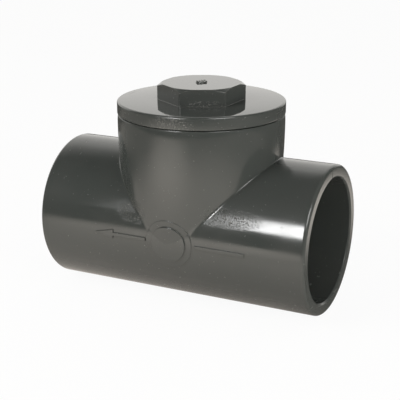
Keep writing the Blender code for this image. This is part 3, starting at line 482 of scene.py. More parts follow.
materials = {"pvc": makePvc("greyPvcU", pvcLook), "bonnet": makePvc("greyPvcUBonnet", bonnetLook)}
for slotName, look in grainedLooks.items():
    materials[slotName] = makeGrained(look)
print("materials made:", ", ".join(materials))


def settle(piece, node, bodyName, slotName):
    # Gives a finished piece its material, its body and the node it stands for
    piece.data.materials.clear()
    piece.data.materials.append(materials["bonnet" if node == "bonnet" else slotName])
    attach(piece, bodyName)
    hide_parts(node)


# Flow arrow, head towards the outlet and a plain tail on the badge's other side
arrow = {"raise": 0.65, "half": 0.85, "headHalf": 2.4, "shaftStart": -12.6, "headStart": -31.2,
         "tip": -41.2, "tailStart": 14.9, "tailEnd": 40.9}


def arrowMarks():
    run, half, wide = fit["runRadius"], arrow["half"], arrow["headHalf"]
    start, neck = arrow["shaftStart"], arrow["headStart"]
    head = [(start, -half), (start, half), (neck, half), (neck, wide), (arrow["tip"], 0), (neck, -wide),
            (neck, -half)]
    marks = []
    for outline in (head, rectangle(arrow["tailStart"], arrow["tailEnd"], -half, half)):
        skin = turned(rectangle(0, run + arrow["raise"], -60, 60), fit["fineSteps"], alongX)
        mark = addPiece("arrow", sidePrism(outline, -run - 2, 2 - run))
        marks.append(("UNION", combine(mark, [("INTERSECT", skin)])))
    return marks


# Body: the run, the tapered chamber, both sockets and the leaning partition that carries the seat
body = {
    "endRound": 1.75,
    "ringSpacing": 6.0,      # rings along the run keep its facets square for the cut edges
    "rings": 23,
    "socketMouth": 31.65,
    "socketRoot": 31.4,
    "mouthChamfer": 0.8,
    "inletStop": 33.0,
    "outletStop": -37.0,
    "inletNeck": 25.5,
    "outletNeck": 28.0,
    "outletWeb": 3.0,
    "passage": 31.7,
    "capDepth": 30.0,
    "chamberBase": 34.7,
    "chamber": 35.6,
    "chamberShoulder": 33.0,
    "mouth": 36.0,
    "leadIn": 1.0,
    "rimRound": 0.45,
    "shoulder": 3.5,         # the chamber draws in over this height at its mouth
    "shoulderIn": 0.25,
    "shelf": 34.0,
    "pilot": 1.7,
    "over": 4.0,             # how far a cutter stands out of what it cuts
}
weldLine = {"y": -1.1, "width": 0.7, "depth": 0.7, "low": 30.0, "high": 36.6}    # on the inlet's rim


def drumRadius(height):
    # The chamber flares quickly at the run and comes upright at its mouth
    left = 1 - height / fit["mouthTop"]
    drawn = max(0.0, 1 - (fit["mouthTop"] - height) / body["shoulder"])
    flare = (fit["drumTopRadius"] - fit["drumBase"]) * (1 - left ** fit["drumBend"])
    return fit["drumBase"] + flare - body["shoulderIn"] * drawn ** 2


def capOutline(base, depth, count):
    # The rounded bottom of the chamber, hidden in the run
    angles = [math.radians(-90 + 6 * i) for i in range(1, count)]
    return [(0, -depth)] + [(base * math.cos(angle), depth * math.sin(angle)) for angle in angles]


def drumOutline(offset, top, count):
    rounding = body["rimRound"]
    points = capOutline(fit["drumBase"] + offset, body["capDepth"] + offset, 16)
    for i in range(count):
        height = (top - rounding) * i / count
        points.append((drumRadius(height) + offset, height))
    edge = drumRadius(top) + offset
    return points + arc(edge - rounding, top - rounding, rounding, 0, 90, 4) + [(0, top)]


# Badge: a low ring and the bare field that stands a little higher inside it, on both skins
badge = {"raise": 0.35, "field": 9.0, "fieldRaise": 1.15, "reach": 12.0}


def badgeDiscs():
    run, steps = fit["runRadius"], fit["fineSteps"]
    front = -run - badge["reach"]
    place = Matrix.Translation((fit["badgeX"], 0, fit["badgeZ"])) @ alongY
    discs = []
    for radius, lift in ((fit["badgeRadius"], badge["raise"]), (badge["field"], badge["fieldRaise"])):
        skin = addPiece("skin", turned(rectangle(0, run + lift, -30, 30), steps, alongX))
        combine(skin, [("UNION", turned(drumOutline(lift, 30, 14), steps))])
        outline = [(0, front), (radius - 0.5, front), (radius + 0.3, -run + 2), (0, -run + 2)]
        disc = addPiece("badge", turned(outline, fit["roundSteps"], place))
        discs.append(("UNION", combine(disc, [("INTERSECT", skin)])))
    return discs


def screwPlace(word):
    # Where a bracket screw stands, with its lowest and highest point
    low, high = boxOf("bracket_screw_" + word)
    return Matrix.Translation(((low.x + high.x) / 2, (low.y + high.y) / 2, 0)), low.z, high.z


def chamberSpace():
    stop, neck = body["outletStop"], body["outletNeck"]
    chamfer, passage = body["mouthChamfer"], body["passage"]
    web, top, lead, mouth = stop + body["outletWeb"], fit["mouthTop"], body["leadIn"], body["mouth"]
    space = addPiece("chamberSpace", turned(
        [(0, stop + 1), (neck, stop + 1), (neck, web - chamfer), (neck + chamfer, web), (passage, web),
         (passage, body["inletStop"]), (0, body["inletStop"])], fit["fineSteps"], alongX))
    drum = capOutline(body["chamberBase"], body["capDepth"], 15) + [
        (body["chamberBase"], 0), (body["chamber"], body["chamberShoulder"]),
        (body["chamber"], fit["spigotBottom"]), (mouth, fit["spigotBottom"] + 0.4), (mouth, top - lead),
        (mouth + lead, top), (mouth + lead, top + body["over"]), (0, top + body["over"])]
    lean, low, shelf = math.tan(fit["tilt"]), -fit["runRadius"] - 10, body["shelf"]
    wall = [(seatFace + low * lean, low), (80, low), (80, shelf), (seatFace + shelf * lean, shelf)]
    return combine(space, [("UNION", turned(drum, fit["fineSteps"])),
                           ("DIFFERENCE", sidePrism(wall, -60, 60))])


def makeBody():
    steps, run, rounding = fit["fineSteps"], fit["runRadius"], body["endRound"]
    inlet, outlet = fit["inletEnd"], fit["outletEnd"]
    outline = [(0, outlet)] + arc(run - rounding, outlet + rounding, rounding, -90, 0, 9)
    outline += [(run, outlet + rounding + (i + 1) * body["ringSpacing"]) for i in range(body["rings"])]
    outline += arc(run - rounding, inlet - rounding, rounding, 0, 90, 9) + [(0, inlet)]
    piece = addPiece("bodyMoulding", turned(outline, steps, alongX))
    work = [("UNION", turned(drumOutline(0, fit["mouthTop"], 40), steps))] + badgeDiscs() + arrowMarks()

    chamfer, root = body["mouthChamfer"], body["socketRoot"]
    flare = body["socketMouth"] + chamfer
    for neck, start, stop, mouth in (
            (body["inletNeck"], seatLow.x, body["inletStop"], inlet),
            (body["outletNeck"], body["outletStop"] + body["outletWeb"] / 2, body["outletStop"], outlet)):
        way = 1 if mouth > stop else -1
        over = mouth + way * body["over"]
        bore = [(0, start), (neck, start), (neck, stop), (root, stop),
                (body["socketMouth"], mouth - way * chamfer), (flare, mouth), (flare, over), (0, over)]
        work.append(("DIFFERENCE", turned(bore, steps, alongX)))
    work.append(("DIFFERENCE", chamberSpace()))
    pocket = rectangle(0, fit["seatOuter"] + fit["gap"], -3, fit["seatDepth"] + fit["gap"])
    work.append(("DIFFERENCE", turned(pocket, fit["roundSteps"], boltAxis)))
    for word in ("front", "back"):
        place, low = screwPlace(word)[:2]
        pilot = rectangle(0, body["pilot"], low - fit["gap"], body["shelf"] + body["over"])
        work.append(("DIFFERENCE", turned(pilot, fit["smallSteps"] // 2, place)))
    half = weldLine["width"] / 2 * (1 + 1 / weldLine["depth"])
    wedge = [(inlet - weldLine["depth"], weldLine["y"]), (inlet + 1, weldLine["y"] - half),
             (inlet + 1, weldLine["y"] + half)]
    work.append(("DIFFERENCE", prism(wedge, weldLine["low"], weldLine["high"])))
    work.append(("UNION", helixBar(body["mouth"], thread["ridge"], thread["low"], thread["turns"])))
    settle(combine(piece, work, 13.0), "valve_body", "housing", "pvc")


makeBody()
print("body moulded")


# Bonnet: flange, hexagon, ribbed hollow underneath and the threaded spigot
bonnet = {
    "flangeRound": 1.0,
    "flangeUnder": 0.7,
    "flangeThickness": 6.5,
    "hexFlats": 38.8,
    "hexHeight": 8.4,
    "hexTurn": 27.3,
    "hexFace": 19.8,
    "hexChamfer": 32.0,
    "hexCorner": 0.5,
    "gateRadius": 3.1,
    "gateHeight": 0.9,
    "gateTaper": 0.35,
    "gateDrop": 0.42,        # how ragged the broken gate is, down and sideways
    "gateShift": 0.12,
    "spigot": 35.6,
    "bore": 29.5,
    "spigotChamfer": 1.0,
    "grooveFloor": 32.6,
    "grooveLow": 54.9,
    "plate": 5.0,
    "core": 13.0,
    "coreRoof": 5.0,
    "ribs": 6,
    "ribWidth": 2.4,
    "ribHeight": 6.0,
    "ribRound": 0.5,
}


def brokenGate(hexTop):
    random.seed(7)
    gate = bmesh.new()
    radius, height, shift = bonnet["gateRadius"], bonnet["gateHeight"], bonnet["gateShift"]
    bmesh.ops.create_cone(gate, cap_ends=True, segments=28, radius1=radius,
                          radius2=radius - bonnet["gateTaper"], depth=height + 1,
                          matrix=Matrix.Translation((0, 0, hexTop + (height - 1) / 2)))
    lid = [f for f in gate.faces if f.normal.z > 0.9]
    for ring in range(3):
        bmesh.ops.inset_region(gate, faces=lid, thickness=0.55, use_even_offset=True)
    for vert in gate.verts:
        if vert.co.z > hexTop:
            vert.co.z -= random.uniform(0, bonnet["gateDrop"])
            vert.co.x += random.uniform(-shift, shift)
            vert.co.y += random.uniform(-shift, shift)
    return gate


def makeBonnet():
    steps, flange, low = fit["fineSteps"], bonnetHigh.y, fit["spigotBottom"]
    bottom = fit["mouthTop"] + fit["gap"]
    top = bottom + bonnet["flangeThickness"]
    hexTop = top + bonnet["hexHeight"]
    roof = top - bonnet["plate"]
    coreTop = hexTop - bonnet["coreRoof"]
    rounding, under, chamfer = bonnet["flangeRound"], bonnet["flangeUnder"], bonnet["spigotChamfer"]
    core, bore, spigot, floor = (bonnet[word] for word in ("core", "bore", "spigot", "grooveFloor"))
    plug = bonnet["hexFlats"] / 2 - 0.5
    outline = [(0, coreTop), (core - 1, coreTop)] + arc(core - 1, coreTop - 1, 1, 90, 0, 5)[1:]
    outline += [(core, roof), (bore - 1, roof)] + arc(bore - 1, roof - 1, 1, 90, 0, 5)[1:]
    outline += [(bore, low + 0.4), (bore + 0.4, low), (spigot - chamfer, low), (spigot, low + chamfer),
                (spigot, bonnet["grooveLow"]), (floor, bonnet["grooveLow"]), (floor, bottom),
                (flange - under, bottom)]
    outline += arc(flange - under, bottom + under, under, -90, 0, 5)[1:]
    outline += arc(flange - rounding, top - rounding, rounding, 0, 90, 8)
    outline += [(plug, top), (plug, hexTop - 1.5), (0, hexTop - 1.5)]
    piece = addPiece("bonnetMoulding", turned(outline, steps))

    # The hexagon has rubbed corners and a chamfered top
    turn = math.radians(bonnet["hexTurn"])
    corner, face = bonnet["hexFlats"] / 2 / math.cos(math.radians(30)), bonnet["hexFace"]
    drop = (corner - face) * math.tan(math.radians(bonnet["hexChamfer"]))
    barrel = [(0, roof + 1), (corner + 1, roof + 1), (corner + 1, hexTop - drop - 0.6), (face, hexTop),
              (0, hexTop)]
    block = prism(sixSides(bonnet["hexFlats"], turn), top - 0.5, hexTop + 1)
    corners = [e for e in block.edges if abs((e.verts[0].co - e.verts[1].co).normalized().z) > 0.99]
    hexagon = addPiece("hexagon", bevelled(block, corners, bonnet["hexCorner"], 4))
    combine(hexagon, [("INTERSECT", turned(barrel, steps)),
                      ("DIFFERENCE", turned(rectangle(0, core + 1, roof - 2, coreTop + 1), steps))])
    work = [("UNION", hexagon), ("UNION", brokenGate(hexTop))]

    foot, half = roof - bonnet["ribHeight"], bonnet["ribWidth"] / 2
    for i in range(bonnet["ribs"]):
        around = Matrix.Rotation(turn + math.tau * i / bonnet["ribs"], 4, "Z")
        rib = prism(rectangle(core + 0.3, bore + 0.5, -half, half), foot, roof + 0.5, around)
        lower = [e for e in rib.edges if all(v.co.z < foot + 0.1 for v in e.verts)]
        work.append(("UNION", bevelled(rib, lower, bonnet["ribRound"], 3)))

    # Thread groove that the ridges in the mouth run in, open at the spigot's foot
    turns = thread["turns"] + thread["extraTurns"]
    groove = addPiece("spigotThread", helixBar(spigot, thread["groove"], 0, turns))
    start = (thread["low"] - thread["pitch"] * thread["lead"]) * mm
    wound = Matrix.Rotation(-math.tau * thread["lead"], 4, "Z")
    groove.data.transform(wound @ Matrix.Translation((0, 0, start)))
    work.append(("DIFFERENCE", groove))
    settle(combine(piece, work, 22.0), "bonnet", "bonnet_cap", "pvc")


makeBonnet()
print("bonnet moulded")


# Seat ring with its raised land, pressed into the partition, and the ring that seals it
seat = {"bore": 23.5, "landInner": 24.3, "landOuter": 26.3, "landRaise": 1.2, "landDraft": 0.3,
        "rebate": 2.3, "step": 2.0, "ease": 0.25, "ringRadius": 27.85, "ringHalf": 0.85}


def roundSection(radius, height, half):
    return arc(radius, height, half, 0, 345, 23)


def makeRings():
    bore, outer, back, step = seat["bore"], fit["seatOuter"], fit["seatDepth"], seat["step"]
    bed, land, draft = outer - seat["rebate"], -seat["landRaise"], seat["landDraft"]
    outline = [(bore, 0), (seat["landInner"], 0), (seat["landInner"] + draft, land),
               (seat["landOuter"] - draft, land), (seat["landOuter"], 0), (outer, 0), (outer, step),
               (bed, step), (bed, back), (bore, back)]
    ring = addPiece("seatRing", turned(eased(outline, seat["ease"]), fit["roundSteps"], boltAxis))
    settle(ring, "seat_ring", "housing", "pvc")
    section = roundSection(seat["ringRadius"], back - seat["ringHalf"], seat["ringHalf"])
    seal = addPiece("seatORing", turned(section, fit["roundSteps"], boltAxis), 60)
    settle(seal, "seat_o_ring", "housing", "rubber")
    low, high = boxOf("bonnet_o_ring")
    half = (high.z - low.z) / 2
    section = roundSection(high.x - half, (low.z + high.z) / 2, half)
    settle(addPiece("bonnetORing", turned(section, fit["roundSteps"]), 60), "bonnet_o_ring", "bonnet_seal",
           "rubber")


makeRings()
print("seat and rings made")


# Stainless bracket on the shelf: a plate shaped to the chamber's wall with two ears for the pin
bracket = {"halfWidth": 15.8, "reach": 34.4, "ease": 0.35, "hole": 1.7, "pinHole": 2.3, "noseRadius": 4.8,
           "footDepth": 3.5, "earInner": 7.9, "earOuter": 10.9}


def makeBracket():
    half, room, ease = bracket["halfWidth"], bracket["earInner"], bracket["ease"]
    swing = math.degrees(math.asin(half / bracket["reach"]))
    front = seatFace + body["shelf"] * math.tan(fit["tilt"]) - fit["gap"]
    back = front + fit["gap"] + bracket["footDepth"]
    bottom = body["shelf"] + fit["gap"]
    top = bottom + bracket["footDepth"]
    outline = [(front, -half)] + arc(0, 0, bracket["reach"], -swing, swing, 24) + [(front, half)]
    plate = addPiece("hingeBracket", roundEdges(prism(outline, bottom, top), ease))
    ear = arc(pinCentre.x, pinCentre.z, bracket["noseRadius"], 75, 300, 28)
    ear += [(front, bottom + 0.1), (back, bottom + 0.1), (back, top - 0.1)]
    work = []
    for low, high in ((-bracket["earOuter"], -room), (room, bracket["earOuter"])):
        work.append(("UNION", roundEdges(sidePrism(ear, low, high), ease)))
    notch = rectangle(front - 3, pinCentre.x + arm["hub"] + fit["gap"], -room, room)
    work.append(("DIFFERENCE", prism(notch, bottom - 2, top + 2)))
    for word in ("front", "back"):
        hole = rectangle(0, bracket["hole"], bottom - 2, top + 2)
        work.append(("DIFFERENCE", turned(hole, fit["smallSteps"], screwPlace(word)[0])))
    pinHole = rectangle(0, bracket["pinHole"], -20, 20)
    work.append(("DIFFERENCE", turned(pinHole, fit["smallSteps"], pinPlace @ alongY)))
    settle(combine(plate, work, 25), "hinge_bracket", "housing", "steel")


# Socket screws and flat washers that hold the bracket down
screw = {"shank": 1.4, "thread": 0.22, "pitch": 0.8, "head": 2.4, "crown": 1.7, "headHeight": 2.0,
         "drive": 2.2, "driveDepth": 1.1, "washerHole": 1.7, "ease": 0.15}


def ridged(radius, depth, pitch, low, high):
    # Profile of a thread seen from the side, as rings of ridges up the shank
    points = []
    height = low
    while height + pitch <= high:
        points += [(radius - depth, height + 0.1 * pitch), (radius, height + 0.45 * pitch),
                   (radius, height + 0.6 * pitch), (radius - depth, height + 0.95 * pitch)]
        height += pitch
    return points


def makeScrews():
    shank, head, steps = screw["shank"], screw["head"], fit["smallSteps"]
    for word in ("front", "back"):
        place, low, high = screwPlace(word)
        under = high - screw["headHeight"]
        outline = [(0, low), (0.5 * shank, low + 0.5)]
        outline += ridged(shank, screw["thread"], screw["pitch"], low + shank, under - 1.0)
        outline += [(shank, under - 0.6), (shank, under), (head - 0.1, under), (head, under + 0.1),
                    (head, under + 1.1), (head - 0.12, under + 1.5), (head - 0.35, under + 1.78),
                    (screw["crown"], high), (0, high)]
        piece = addPiece("bracketScrew" + word.title(), turned(outline, steps, place))
        drive = prism(sixSides(screw["drive"]), high - screw["driveDepth"], high + 1, place)
        settle(combine(piece, [("DIFFERENCE", drive)], 25), "bracket_screw_" + word, "housing", "steel")
        low, high = boxOf("bracket_washer_" + word)
        ring = rectangle(screw["washerHole"], (high.x - low.x) / 2, low.z, high.z)
        washer = addPiece("bracketWasher" + word.title(), turned(eased(ring, screw["ease"]), steps, place))
        settle(washer, "bracket_washer_" + word, "housing", "steel")


# Pin, its two clips and the bushes it turns in
pin = {"radius": 2.0, "groove": 1.6, "grooveLow": 10.9, "grooveHigh": 12.3, "end": 0.4, "ease": 0.12,
       "clipInner": 1.9, "clipGap": 2.35, "clipOuter": 3.8, "clipOpening": 62.0, "clipEase": 0.08,
       "bushBore": 2.3, "bushBarrel": 3.3, "bushFlange": 4.2, "bushFlangeWidth": 0.8}


def makePin():
    half, radius, groove = pinHigh.y, pin["radius"], pin["groove"]
    side = [(radius, pin["grooveLow"]), (groove, pin["grooveLow"] + 0.05), (groove, pin["grooveHigh"]),
            (radius, pin["grooveHigh"]), (radius, half - pin["end"]), (radius - pin["end"], half)]
    outline = [(0, -half)] + [(r, -h) for r, h in reversed(side)] + side + [(0, half)]
    piece = addPiece("hingePin", turned(outline, fit["smallSteps"], pinPlace @ alongY), 25)
    settle(piece, "hinge_pin", "housing", "steel")

    # A clip with three lobes that grip the groove: one at each end and one in the middle
    start, end = 90 + pin["clipOpening"] / 2, 450 - pin["clipOpening"] / 2
    rim = arc(0, 0, pin["clipOuter"], start, end, 48)
    lobes = []
    for i in range(49):
        angle = math.radians(end + (start - end) * i / 48)
        slack = 0.5 - 0.5 * math.cos(2 * math.tau * i / 48)
        reach = pin["clipInner"] + (pin["clipGap"] - pin["clipInner"]) * slack
        lobes.append((reach * math.cos(angle), reach * math.sin(angle)))
    for word in ("front", "back"):
        low, high = boxOf("pin_circlip_" + word)
        clip = roundEdges(sidePrism(rim + lobes, low.y, high.y, pinPlace), pin["clipEase"])
        settle(addPiece("pinClip" + word.title(), clip), "pin_circlip_" + word, "housing", "steel")


def makeBushes():
    bore, barrel, flange = pin["bushBore"], pin["bushBarrel"], pin["bushFlange"]
    for word, side in (("front", -1), ("back", 1)):
        low, high = boxOf("arm_bush_" + word)
        inner, outer = (high.y, low.y) if side < 0 else (low.y, high.y)
        face = outer - side * pin["bushFlangeWidth"]
        outline = [(bore, inner), (barrel, inner), (barrel, face), (flange, face), (flange, outer),
                   (bore, outer)]
        bush = turned(eased(outline, pin["ease"]), fit["smallSteps"], pinPlace @ alongY)
        settle(addPiece("armBush" + word.title(), bush), "arm_bush_" + word, "flap", "bush_plastic")


# Arm: hub on the pin, web down the back of the flap with a rib, and the boss under the nut.
# Depths along the flap's bolt run from the seat's face into the chamber.
arm = {"hub": 5.6, "hubBore": 3.6, "hubHalf": 6.5, "behindSeat": 6.0, "drop": 34.5, "face": 9.1, "rear": 13.7,
       "rise": 0.4, "neck": 4.6, "boss": 9.0, "halfWidth": 5.0, "ribHalf": 1.7, "ribHeight": 3.0,
       "boltHole": 3.3, "ease": 0.5, "webEase": 0.45}


def makeArm():
    hubPlace = seatPlace @ Matrix.Translation((-arm["behindSeat"], 0, arm["drop"]))
    foot, hub, ribHeight, webEase = -arm["drop"], arm["hub"], arm["ribHeight"], arm["webEase"]
    front = arm["behindSeat"] - arm["face"] - arm["rise"]
    rear = arm["behindSeat"] - arm["rear"]
    behind, crest = rear + arm["rise"], rear - ribHeight
    boss = eased(rectangle(0, arm["boss"], -arm["rear"], -arm["face"]), arm["ease"])
    piece = addPiece("flapArm", turned(boss, fit["roundSteps"], boltAxis))
    web = [(front, foot), (front, -hub)] + arc(0, 0, arm["neck"], -90, -200, 10)
    web += [(behind, -hub), (behind, foot)]
    start = foot + arm["boss"] + fit["gap"]
    rib = [(behind + 1.0, start), (behind + 0.2, start), (crest, start + ribHeight),
           (crest, -hub - ribHeight), (behind + 0.2, -hub), (behind + 1.0, -hub)]
    barrel = eased(rectangle(0, hub, -arm["hubHalf"], arm["hubHalf"]), arm["ease"])
    combine(piece, [
        ("UNION", turned(barrel, fit["roundSteps"], hubPlace @ alongY)),
        ("UNION", roundEdges(sidePrism(web, -arm["halfWidth"], arm["halfWidth"], hubPlace), webEase)),
        ("UNION", roundEdges(sidePrism(rib, -arm["ribHalf"], arm["ribHalf"], hubPlace), webEase)),
        ("DIFFERENCE", turned(rectangle(0, arm["hubBore"], -20, 20), fit["smallSteps"], hubPlace @ alongY)),
        ("DIFFERENCE", turned(rectangle(0, arm["boltHole"], -20, 0), fit["smallSteps"], boltAxis))], 25)
    settle(piece, "flap_arm", "flap", "flap_plastic")


# Flap: ribbed disc, rubber facing and steel retainer
flap = {"radius": 26.9, "discFace": 4.8, "discBack": 8.8, "crown": 10.4, "rim": 2.5, "ribs": 10,
        "ribHalf": 1.0, "ribStart": 9.6, "ribEase": 0.35, "discEase": 0.5, "sealFace": 1.5, "sealBack": 4.5,
        "sealEase": 0.6, "retainerFace": -0.8, "retainerBack": 1.2, "retainer": 19.0, "retainerSlope": 1.0,
        "retainerEase": 0.3}


def stacked(name, outline, steps, ease):
    # A turned piece on the bolt's axis, its outline given as (radius, depth)
    return addPiece(name, turned(eased([(r, -depth) for r, depth in outline], ease), steps, boltAxis))


def makeFlap():
    hole, radius, crown, back = bolt["hole"], flap["radius"], flap["crown"], flap["discBack"]
    face, rim, half, steps = flap["discFace"], radius - flap["rim"], flap["ribHalf"], fit["fineSteps"]
    outline = [(hole, face), (radius, face), (radius, crown), (rim, crown), (rim - 0.3, back), (hole, back)]
    piece = stacked("flapDisc", outline, steps, flap["discEase"])
    work = []
    for i in range(flap["ribs"]):
        around = Matrix.Rotation(math.tau * (i + 0.5) / flap["ribs"], 4, "X")
        rib = prism(rectangle(flap["ribStart"], rim + 1, -half, half), -crown + 0.2, 0.5 - back)
        roundEdges(rib, flap["ribEase"])
        bmesh.ops.transform(rib, matrix=seatPlace @ around @ alongX, verts=rib.verts)
        work.append(("UNION", rib))
    channel = arm["halfWidth"] + 2 * fit["gap"]
    bed = rectangle(-arm["drop"], 0, -channel, channel)
    work.append(("DIFFERENCE", prism(bed, -crown - 1, -back, boltAxis)))
    settle(combine(piece, work, 25), "flap_disc", "flap", "flap_plastic")
    seal = rectangle(hole, radius, flap["sealFace"], flap["sealBack"])
    settle(stacked("flapSeal", seal, steps, flap["sealEase"]), "flap_seal", "flap", "rubber")
    rim, slope, front = flap["retainer"], flap["retainerSlope"], flap["retainerFace"]
    plate = [(hole, front), (rim - slope, front), (rim, front + slope), (rim, flap["retainerBack"]),
             (hole, flap["retainerBack"])]
    settle(stacked("sealRetainer", plate, steps, flap["retainerEase"]), "seal_retainer", "flap", "steel")


# Bolt through the flap with its nut, flat washer and split spring washer
bolt = {"shank": 3.0, "hole": 3.3, "flats": 10.0, "headFace": -5.1, "headBack": -1.1, "end": 23.6,
        "pitch": 1.0, "thread": 0.35, "threadStart": 12.0, "washer": 6.0, "washerFace": 14.0,
        "washerBack": 15.2, "washerEase": 0.2, "springOuter": 5.5, "springFace": 15.5, "springBack": 16.9,
        "springRise": 0.4, "springSweep": 345.0, "springSteps": 72, "springEase": 0.15, "nutFace": 17.6,
        "nutBack": 22.6, "nutLead": 1.4}


def hexBlank(name, face, back):
    # A hexagon along the bolt with both ends chamfered by turning
    inset = bolt["flats"] / 2 - 0.25
    corner = bolt["flats"] / 2 / math.cos(math.radians(30)) + 0.3
    drop = (corner - inset) * math.tan(math.radians(30))
    blank = addPiece(name, prism(sixSides(bolt["flats"], math.pi / 24), -back, -face, boltAxis))
    barrel = [(0, -back), (inset, -back), (corner, drop - back), (corner, -face - drop), (inset, -face),
              (0, -face)]
    return combine(blank, [("INTERSECT", turned(barrel, fit["roundSteps"], boltAxis))], 20)


def makeBolt():
    shank, head, end, hole = bolt["shank"], bolt["headBack"], bolt["end"], bolt["hole"]
    steps = fit["smallSteps"]
    outline = [(0, head - 2), (shank, head - 2), (shank, bolt["threadStart"])]
    outline += ridged(shank, bolt["thread"], bolt["pitch"], bolt["threadStart"], end - 0.5)
    outline += [(shank - 0.5, end), (0, end)]
    piece = addPiece("flapBolt", turned([(r, -d) for r, d in outline], steps, boltAxis), 25)
    combine(piece, [("UNION", hexBlank("boltHead", bolt["headFace"], head))], 20)
    settle(piece, "flap_bolt", "flap", "steel")
    face, back, lead = -bolt["nutFace"], -bolt["nutBack"], hole + bolt["nutLead"]
    bore = [(0, back - 1), (lead, back - 1), (hole, back + 0.4), (hole, face - 0.4), (lead, face + 1),
            (0, face + 1)]
    nut = hexBlank("flapNut", bolt["nutFace"], bolt["nutBack"])
    settle(combine(nut, [("DIFFERENCE", turned(bore, steps, boltAxis))], 20), "flap_nut", "flap", "steel")
    washer = rectangle(hole, bolt["washer"], bolt["washerFace"], bolt["washerBack"])
    washer = stacked("flapWasher", washer, fit["roundSteps"], bolt["washerEase"])
    settle(washer, "flap_washer", "flap", "steel")

    # Spring washer: a square wire wound almost one turn, its ends sprung apart
    spring = bmesh.new()
    section = eased(rectangle(hole, bolt["springOuter"], -bolt["springBack"], -bolt["springFace"]),
                    bolt["springEase"])
    wire = spring.faces.new([spring.verts.new((r, 0, h)) for r, h in section])
    turns = bolt["springSteps"]
    bmesh.ops.spin(spring, geom=[wire], cent=(0, 0, 0), axis=(0, 0, 1),
                   angle=math.radians(bolt["springSweep"]), steps=turns,
                   dvec=(0, 0, -bolt["springRise"] / turns), use_duplicate=False)
    bmesh.ops.transform(spring, matrix=boltAxis, verts=spring.verts)
    settle(addPiece("flapSpringWasher", spring, 40), "flap_spring_washer", "flap", "steel")


makeBracket()
makeScrews()
makePin()
makeBushes()
print("bracket, screws and pin made")
makeArm()
makeFlap()
makeBolt()
print("flap made")


# Camera: solved from the photo's outlines, in the photo's 400 x 400 frame
view = {
    "azimuth": 26.22,
    "elevation": 18.78,
    "roll": -0.12,
    "distance": 531.6,
    "target": (-2.0, 0.0, 0.0),
    "focalPixels": 1012.9,
    "framePixels": 400,
    "targetPixel": (198.19, 219.98),
    "sensor": 36.0,
}


def makeCamera():
    azimuth, elevation = math.radians(view["azimuth"]), math.radians(view["elevation"])
    back = Vector((math.sin(azimuth) * math.cos(elevation), -math.cos(azimuth) * math.cos(elevation),
                   math.sin(elevation)))
    data = bpy.data.cameras.new("camera")
    data.sensor_width = view["sensor"]
    data.lens = view["sensor"] * view["focalPixels"] / view["framePixels"]
    middle = view["framePixels"] / 2
    data.shift_x = (middle - view["targetPixel"][0]) / view["framePixels"]
    data.shift_y = (view["targetPixel"][1] - middle) / view["framePixels"]
    camera = bpy.data.objects.new("camera", data)
    scene.collection.objects.link(camera)
    camera.rotation_mode = "QUATERNION"
    camera.location = (Vector(view["target"]) + back * view["distance"]) * mm
    roll = Matrix.Rotation(math.radians(view["roll"]), 3, "Z").to_quaternion()
    camera.rotation_quaternion = (-back).to_track_quat("-Z", "Y") @ roll
    scene.camera = camera


makeCamera()


# Studio: a white sheet under and behind the valve, a dark room in front of it and one softbox.
# The gloss sees the sheet and the softbox; what it sees of the sheet is a painted reflection with painted
# pools of light and painted shadows of the valve on it. Two plain lamps and the room's own light fill the
# matt part of the plastic. Lengths are metres.
studio = {
    "paperColour": "f4f2ee",
    "paperRoughness": 0.9,
    "sheetColour": "fff6ec",
    "wallColour": "fcfaf6",
    "roomColour": "2b2d2c",
    "wallLevel": 1.3,
    "wallTurn": -0.4,        # the wall stands a little to the left of straight behind
    "wallBehind": (0.217, 0.517),
    "wallLeft": (0.45, 0.1),
    "wallHeight": (0.92, 0.60),
    "ambient": 0.5,
    "direct": 0.94,          # the rest of what the camera sees of the sheet is lit paper
    "sheetLevel": 0.35,
    "sheetFront": -0.41,
    "sheetFade": 0.03,
    "farFrom": 0.09,         # painted shade: the sheet's reflection falls off into the room from here back
    "farTo": 0.20,
    "farShare": 0.25,
}
# Soft-edged spots painted on the sheet's reflection: painted pools of light add to it, and painted shadows of
# the valve take a share away
paintedLightSpots = {
    "apron": {"place": (0.03, -0.12), "size": (0.22, 0.17), "level": 1.15},
    "glow": {"place": (-0.09, -0.30), "size": (0.13, 0.16), "level": 1.5},
}
paintedShadeSpots = {
    "pool": {"place": (0.05, 0.055), "size": (0.18, 0.11), "level": -0.85},
    "left": {"place": (-0.25, 0.03), "size": (0.06, 0.13), "level": -0.8},
    "rim": {"place": (0.08, 0.0), "size": (0.025, 0.03), "level": -0.4},
}
# A painted pool of light on the sheet's reflection behind the inlet's rim
paintedGlowBehindRim = {"place": (0.15, 0.155), "size": (0.055, 0.10), "level": 1.35}
lamps = {
    "softbox": {"place": (-0.16, -0.74, 0.35), "size": (0.20, 0.24), "power": 4.2, "glossy": True},
    "softboxEdge": {"place": (-0.35, -0.71, 0.33), "size": (0.18, 0.22), "power": 0.2, "glossy": True},
    "rightBox": {"place": (0.60, -0.42, 0.55), "size": (0.40, 0.40), "power": 4.0, "glossy": True},
    "keyLamp": {"place": (-0.45, -0.65, 0.60), "size": (0.5, 0.5), "power": 4.9, "glossy": False},
    "sideLamp": {"place": (0.80, -0.20, 0.05), "size": (0.4, 0.4), "power": 6.0, "glossy": False},
}
plainWhite = (1.0, 1.0, 1.0, 1.0)


